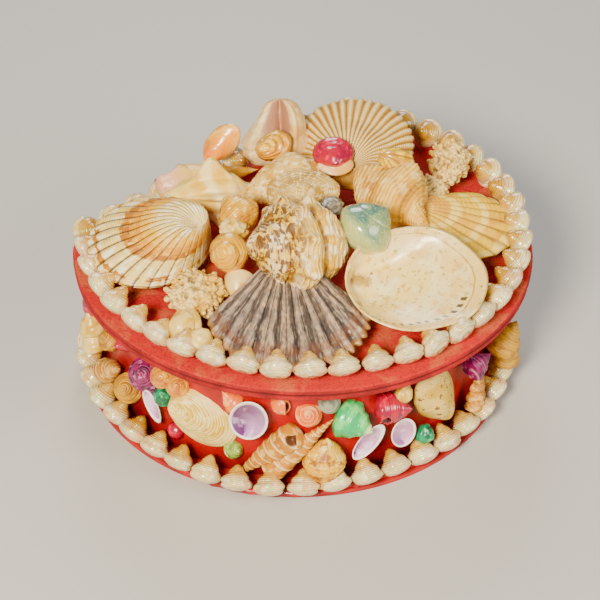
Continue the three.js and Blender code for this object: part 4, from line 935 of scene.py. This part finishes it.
FANS, FAN_Z, FAN_OUT = 5, 32, 1   # how many a side, their height, and how far out of the wall they sit
fans("right_side_fans", "shells_right_side",
     [on_wall(bearing, FAN_Z, LID_RADIUS - WALL_INSET + FAN_OUT, BASE_SHIFT)
      for bearing in np.linspace(2, 76, FANS)])
fans("back_fans", "shells_back", [on_back(along, FAN_Z, FAN_OUT) for along in np.linspace(-50, 50, FANS)])

# ---- The card box --------------------------------------------------------------------------------------


def board_rings(bottom, top, bevel, fringe):
    """A board with softened edges, as (share of the outline, height, how deep in the fringe's gap, which also
    sets the painted shade there) rings from the middle of its underside round to the middle of its top."""
    def softened(z, rise, angles):
        turns = [(1 - math.sin(a * DEG), 1 - math.cos(a * DEG)) for a in angles]
        return [(1 - bevel * sunk / LID_RADIUS, z + rise * bevel * raised, 0) for sunk, raised in turns]
    gap = top - 0.42 * (top - bottom)
    folds = ((-0.9, 0, 0), (-0.5, 0.3, 0.6), (-0.1, 0.8, 1), (0.3, 0.5, 1), (0.6, -0.3, 0.3), (0.9, -0.2, 0))
    return ([(share, bottom, 0) for share in (0.3, 0.6, 0.85, 0.96)] + softened(bottom, 1, (0, 30, 60, 90))
            + [(1 - sink * fringe / LID_RADIUS, gap + rise, dark) for rise, sink, dark in folds if fringe]
            + softened(top, -1, (90, 60, 30, 0))
            + [(share, top, 0) for share in (0.985, 0.96, 0.93, 0.9, 0.8, 0.6, 0.4, 0.2)])


def board(name, node, slot, material, inset, bottom, top, bevel, offset=(0, 0), fringe=0.0):
    outline, rings = plan_outline(inset), board_rings(bottom, top, bevel, fringe)
    points, edge, dark = [[[0, 0, bottom]]], [[0.0]], [[0.0]]
    for share, z, gap in rings:
        points.append(np.column_stack([outline * share, np.full(len(outline), z)]))
        edge.append([share] * len(outline))
        dark.append([gap] * len(outline))
    points = np.concatenate(points + [[[0, 0, top]]]) + [*offset, 0]
    edge, dark = (np.concatenate(values + [[0.0]]) for values in (edge, dark))
    if fringe:
        ragged = np.array([noise.noise(Vector(p) / 1.3) for p in points]) * (edge > 0.98)
        points[:, 2] += 0.3 * ragged * (dark > 0)
        points[:, :2] *= (1 - 0.25 * np.abs(ragged) / LID_RADIUS)[:, None]
    # The third growth value is how deep a point lies in the fringe's gap, which the velvet paints as shade.
    growth = np.stack([edge, (points[:, 2] - bottom) / (top - bottom), dark], 1)
    make_piece(name, node, slot, material, points, ring_faces(len(rings), len(outline)), {"growth": growth})


def worn_velvet():
    """Velvet glued over card, its pile rubbed flat on top to salmon red with bare tan-pink patches where glue
    came away, and standing as a fringe round the edge, with painted shade near black in the fringe's gap."""
    material, add = new_material("worn_red_velvet")
    place = add("TexCoord", out="Object")
    growth = add("Attribute", out="Vector", attribute_name="growth")
    top, gap_shade = add("SeparateXYZ", {0: growth}).node.outputs[1:3]
    pile = add("TexNoise", {"Vector": place, "Scale": noise_scale(0.6), "Detail": 4})
    blotch = add("TexNoise", {"Vector": place, "Scale": noise_scale(6), "Detail": 3})
    bare = add("TexNoise", {"Vector": place, "Scale": noise_scale(9), "Detail": 5, "Distortion": 0.6})
    blotched = add("MapRange", {"Value": blotch, "From Min": 0.4, "From Max": 0.65})
    red = add("Mix", {0: blotched, 6: linear("B00000"), 7: linear("840000")}, **MIX)
    flat = add("MapRange", {"Value": top, "From Min": 0.9, "From Max": 0.98})
    rubbed = add("Mix", {0: flat, 6: red, 7: linear("C01004")}, **MIX)
    worn = add("MapRange", {"Value": bare, "From Min": 0.5, "From Max": 0.6, "To Max": 0.75})
    worn = add("Math", {0: worn, 1: flat}, **TIMES)
    patched = add("Mix", {0: worn, 6: rubbed, 7: linear("C4582C")}, **MIX)
    # Dark flecks in the pile, and painted shade in the fringe's gap, both mixed towards near black.
    deep = add("MapRange", {"Value": pile, "From Min": 0.52, "From Max": 0.68, "To Max": 0.4})
    deep = add("Math", {0: deep, 1: gap_shade}, operation="MAXIMUM")
    colour = add("Mix", {0: deep, 6: patched, 7: linear("3E0200")}, **MIX)
    tufts = add("Math", {0: pile, 1: 0.6}, **TIMES)
    relieved = add("Bump", {"Height": tufts, "Distance": MM, "Strength": 0.9})
    shader = add("BsdfPrincipled", {"Base Color": colour, "Roughness": 0.9, "Normal": relieved,
                                    "Sheen Weight": 0.06, "Sheen Roughness": 0.4,
                                    "Sheen Tint": linear("FF5A40")})
    add("OutputMaterial", {"Surface": shader})
    return material


def red_finish(name, reds, blotch, relief, rough, coat):
    """A blotched red with fine relief under a gloss. The blotches have their width in millimetres and two
    limits, and the relief its width, detail, height and strength."""
    material, add = new_material(name)
    place = add("TexCoord", out="Object")
    mm, low, high = blotch
    blotched = add("TexNoise", {"Vector": place, "Scale": noise_scale(mm), "Detail": 3})
    blotched = add("MapRange", {"Value": blotched, "From Min": low, "From Max": high})
    colour = add("Mix", {0: blotched, 6: linear(reds[0]), 7: linear(reds[1])}, **MIX)
    mm, detail, height, strength = relief
    fine = add("TexNoise", {"Vector": place, "Scale": noise_scale(mm), "Detail": detail})
    fine = add("Math", {0: fine, 1: height}, **TIMES)
    relieved = add("Bump", {"Height": fine, "Distance": MM, "Strength": strength})
    shader = add("BsdfPrincipled", {"Base Color": colour, "Roughness": rough, "Normal": relieved,
                                    "Coat Weight": coat[0], "Coat Roughness": coat[1]})
    add("OutputMaterial", {"Surface": shader})
    return material


def wall_piece(material):
    outer, inner = plan_outline(WALL_INSET), plan_outline(WALL_INSET + WALL_THICK)
    heights = np.linspace(BASE_THICK + GAP, LID_TOP - LID_THICK - GAP, 6)
    rings = [(outer, z) for z in heights] + [(inner, z) for z in heights[::-1]]
    sides = len(outer)
    points = np.concatenate([np.column_stack([ring + BASE_OFFSET, np.full(sides, z)]) for ring, z in rings])
    faces = ring_faces(len(rings), sides, capped=False)
    last = (len(rings) - 1) * sides
    faces += [(last + j, j, (j + 1) % sides, last + (j + 1) % sides) for j in range(sides)]
    make_piece("papered_wall", "box_wall", "wall_paper", material, points, faces, {})


def glue_line(name, node, slot, material, seats, inward, z, size, steps=16, sides=10):
    """A lumpy line of glue that the top shells stand in."""
    out = -np.array([seat["right"] for seat in seats], float)
    at = np.array([seat["at"] for seat in seats], float) - out * inward
    at[:, 2] = z
    k = np.arange(len(seats) * steps) / steps
    i = k.astype(int)
    share = (k - i)[:, None]
    path = at[i] * (1 - share) + at[(i + 1) % len(at)] * share
    along = np.roll(path, -1, axis=0) - np.roll(path, 1, axis=0)
    along /= np.linalg.norm(along, axis=1)[:, None]
    across, rings = np.cross(along, [0, 0, 1]), []
    for j in range(sides):
        a = TURN * j / sides
        lumps = [abs(noise.noise(Vector((x / 6, y / 6, j * 0.3)))) for x, y, _ in path]
        fat = size * (0.8 + 0.7 * np.array(lumps))
        rings.append(path + across * (fat * 1.6 * math.cos(a))[:, None]
                     + np.array([0, 0, 1]) * (fat * max(math.sin(a), -0.2))[:, None])
    n, faces = len(path), []
    for j in range(sides):
        a, b = j * n, ((j + 1) % sides) * n
        faces += [(a + m, a + (m + 1) % n, b + (m + 1) % n, b + m) for m in range(n)]
    make_piece(name, node, slot, material, spun(np.concatenate(rings), -SHOW_TURN), faces, {})


board("velvet_lid", "lid_panel", "lid_felt", worn_velvet(), inset=0, bottom=LID_TOP - LID_THICK, top=LID_TOP,
      bevel=0.8, fringe=0.9)
CARD = dict(blotch=(7, 0.4, 0.65), relief=(0.8, 4, 0.25, 0.6))
# Bare pinkish card: matt and slightly blotched.
pink_card = red_finish("pink_faced_card", ("B01408", "8A0E06"), rough=0.7, coat=(0.0, 0.2), **CARD)
# Card faced with red paper, brushed with glue: bright, slightly blotched, with a soft gloss.
red_card = red_finish("red_painted_card", ("B40000", "880000"), rough=0.45, coat=(0.1, 0.2), **CARD)
# Hot glue stained red, set in lumps: wet gloss over a clear red.
glue = red_finish("red_hot_glue", ("C40400", "800200"), blotch=(3, 0.42, 0.62), relief=(1.6, 2, 0.5, 0.7),
                  rough=0.28, coat=(0.4, 0.1))
board("card_base", "base_panel", "base_card", pink_card, BASE_INSET, bottom=0, top=BASE_THICK, bevel=0.4,
      offset=BASE_OFFSET)
wall_piece(red_card)
glue_line("base_row_glue", "base_pearl_row", "wall_paper", glue, base_seats, inward=5.0, z=BASE_THICK + 0.3,
          size=2.2)

# ---- Floor, light and camera ---------------------------------------------------------------------------


def floor_piece(half=4):
    """A plain pale floor, so the object's own colours read."""
    material, add = new_material("pale_studio_floor")
    shader = add("BsdfPrincipled", {"Base Color": linear("BDBAB4"), "Roughness": 0.6})
    add("OutputMaterial", {"Surface": shader})
    mesh = bpy.data.meshes.new("floor")
    corners = [(-half, -half, 0), (half, -half, 0), (half, half, 0), (-half, half, 0)]
    mesh.from_pydata(corners, [], [(0, 1, 2, 3)])
    mesh.materials.append(material)
    link("floor", mesh)


def soft_light(name, place, aim_z, size, watts, colour):
    light = bpy.data.lights.new(name, "AREA")
    light.shape, light.size, light.energy = "DISK", size, watts
    light.color = linear(colour)[:3]
    lamp = link(name, light)
    lamp.location = place
    lamp.rotation_euler = (Vector((0, 0, aim_z)) - Vector(place)).to_track_quat("-Z", "Y").to_euler()


CAMERA_AT = Vector((-0.42735, -0.49019, 0.54482))
CAMERA_AIM = Vector((-0.0262, -0.0287, 0.0562))
CAMERA_ROLL = 0.6155 * DEG


def viewing_camera():
    data = bpy.data.cameras.new("camera")
    data.lens, data.sensor_width = 120, 36
    camera = link("camera", data)
    aim = (CAMERA_AIM - CAMERA_AT).to_track_quat("-Z", "Y").to_matrix()
    rolled = (aim @ Matrix.Rotation(CAMERA_ROLL, 3, "Z")).to_4x4()
    camera.matrix_world = Matrix.Translation(CAMERA_AT) @ rolled
    bpy.context.scene.camera = camera


floor_piece()
viewing_camera()
soft_light("key", (-0.85, -0.5, 0.8), aim_z=0.05, size=0.32, watts=34, colour="FFF2DC")
soft_light("fill", (0.3, -0.9, 0.6), aim_z=0.04, size=0.6, watts=8, colour="FFFAF4")
soft_light("rim", (0.5, 0.7, 0.7), aim_z=0.05, size=0.5, watts=6, colour="FFFFFF")
world = bpy.data.worlds.new("studio")
world.use_nodes = True
sky = world.node_tree.nodes["Background"].inputs
sky["Color"].default_value, sky["Strength"].default_value = linear("E9EDF2"), 0.21
bpy.context.scene.world = world
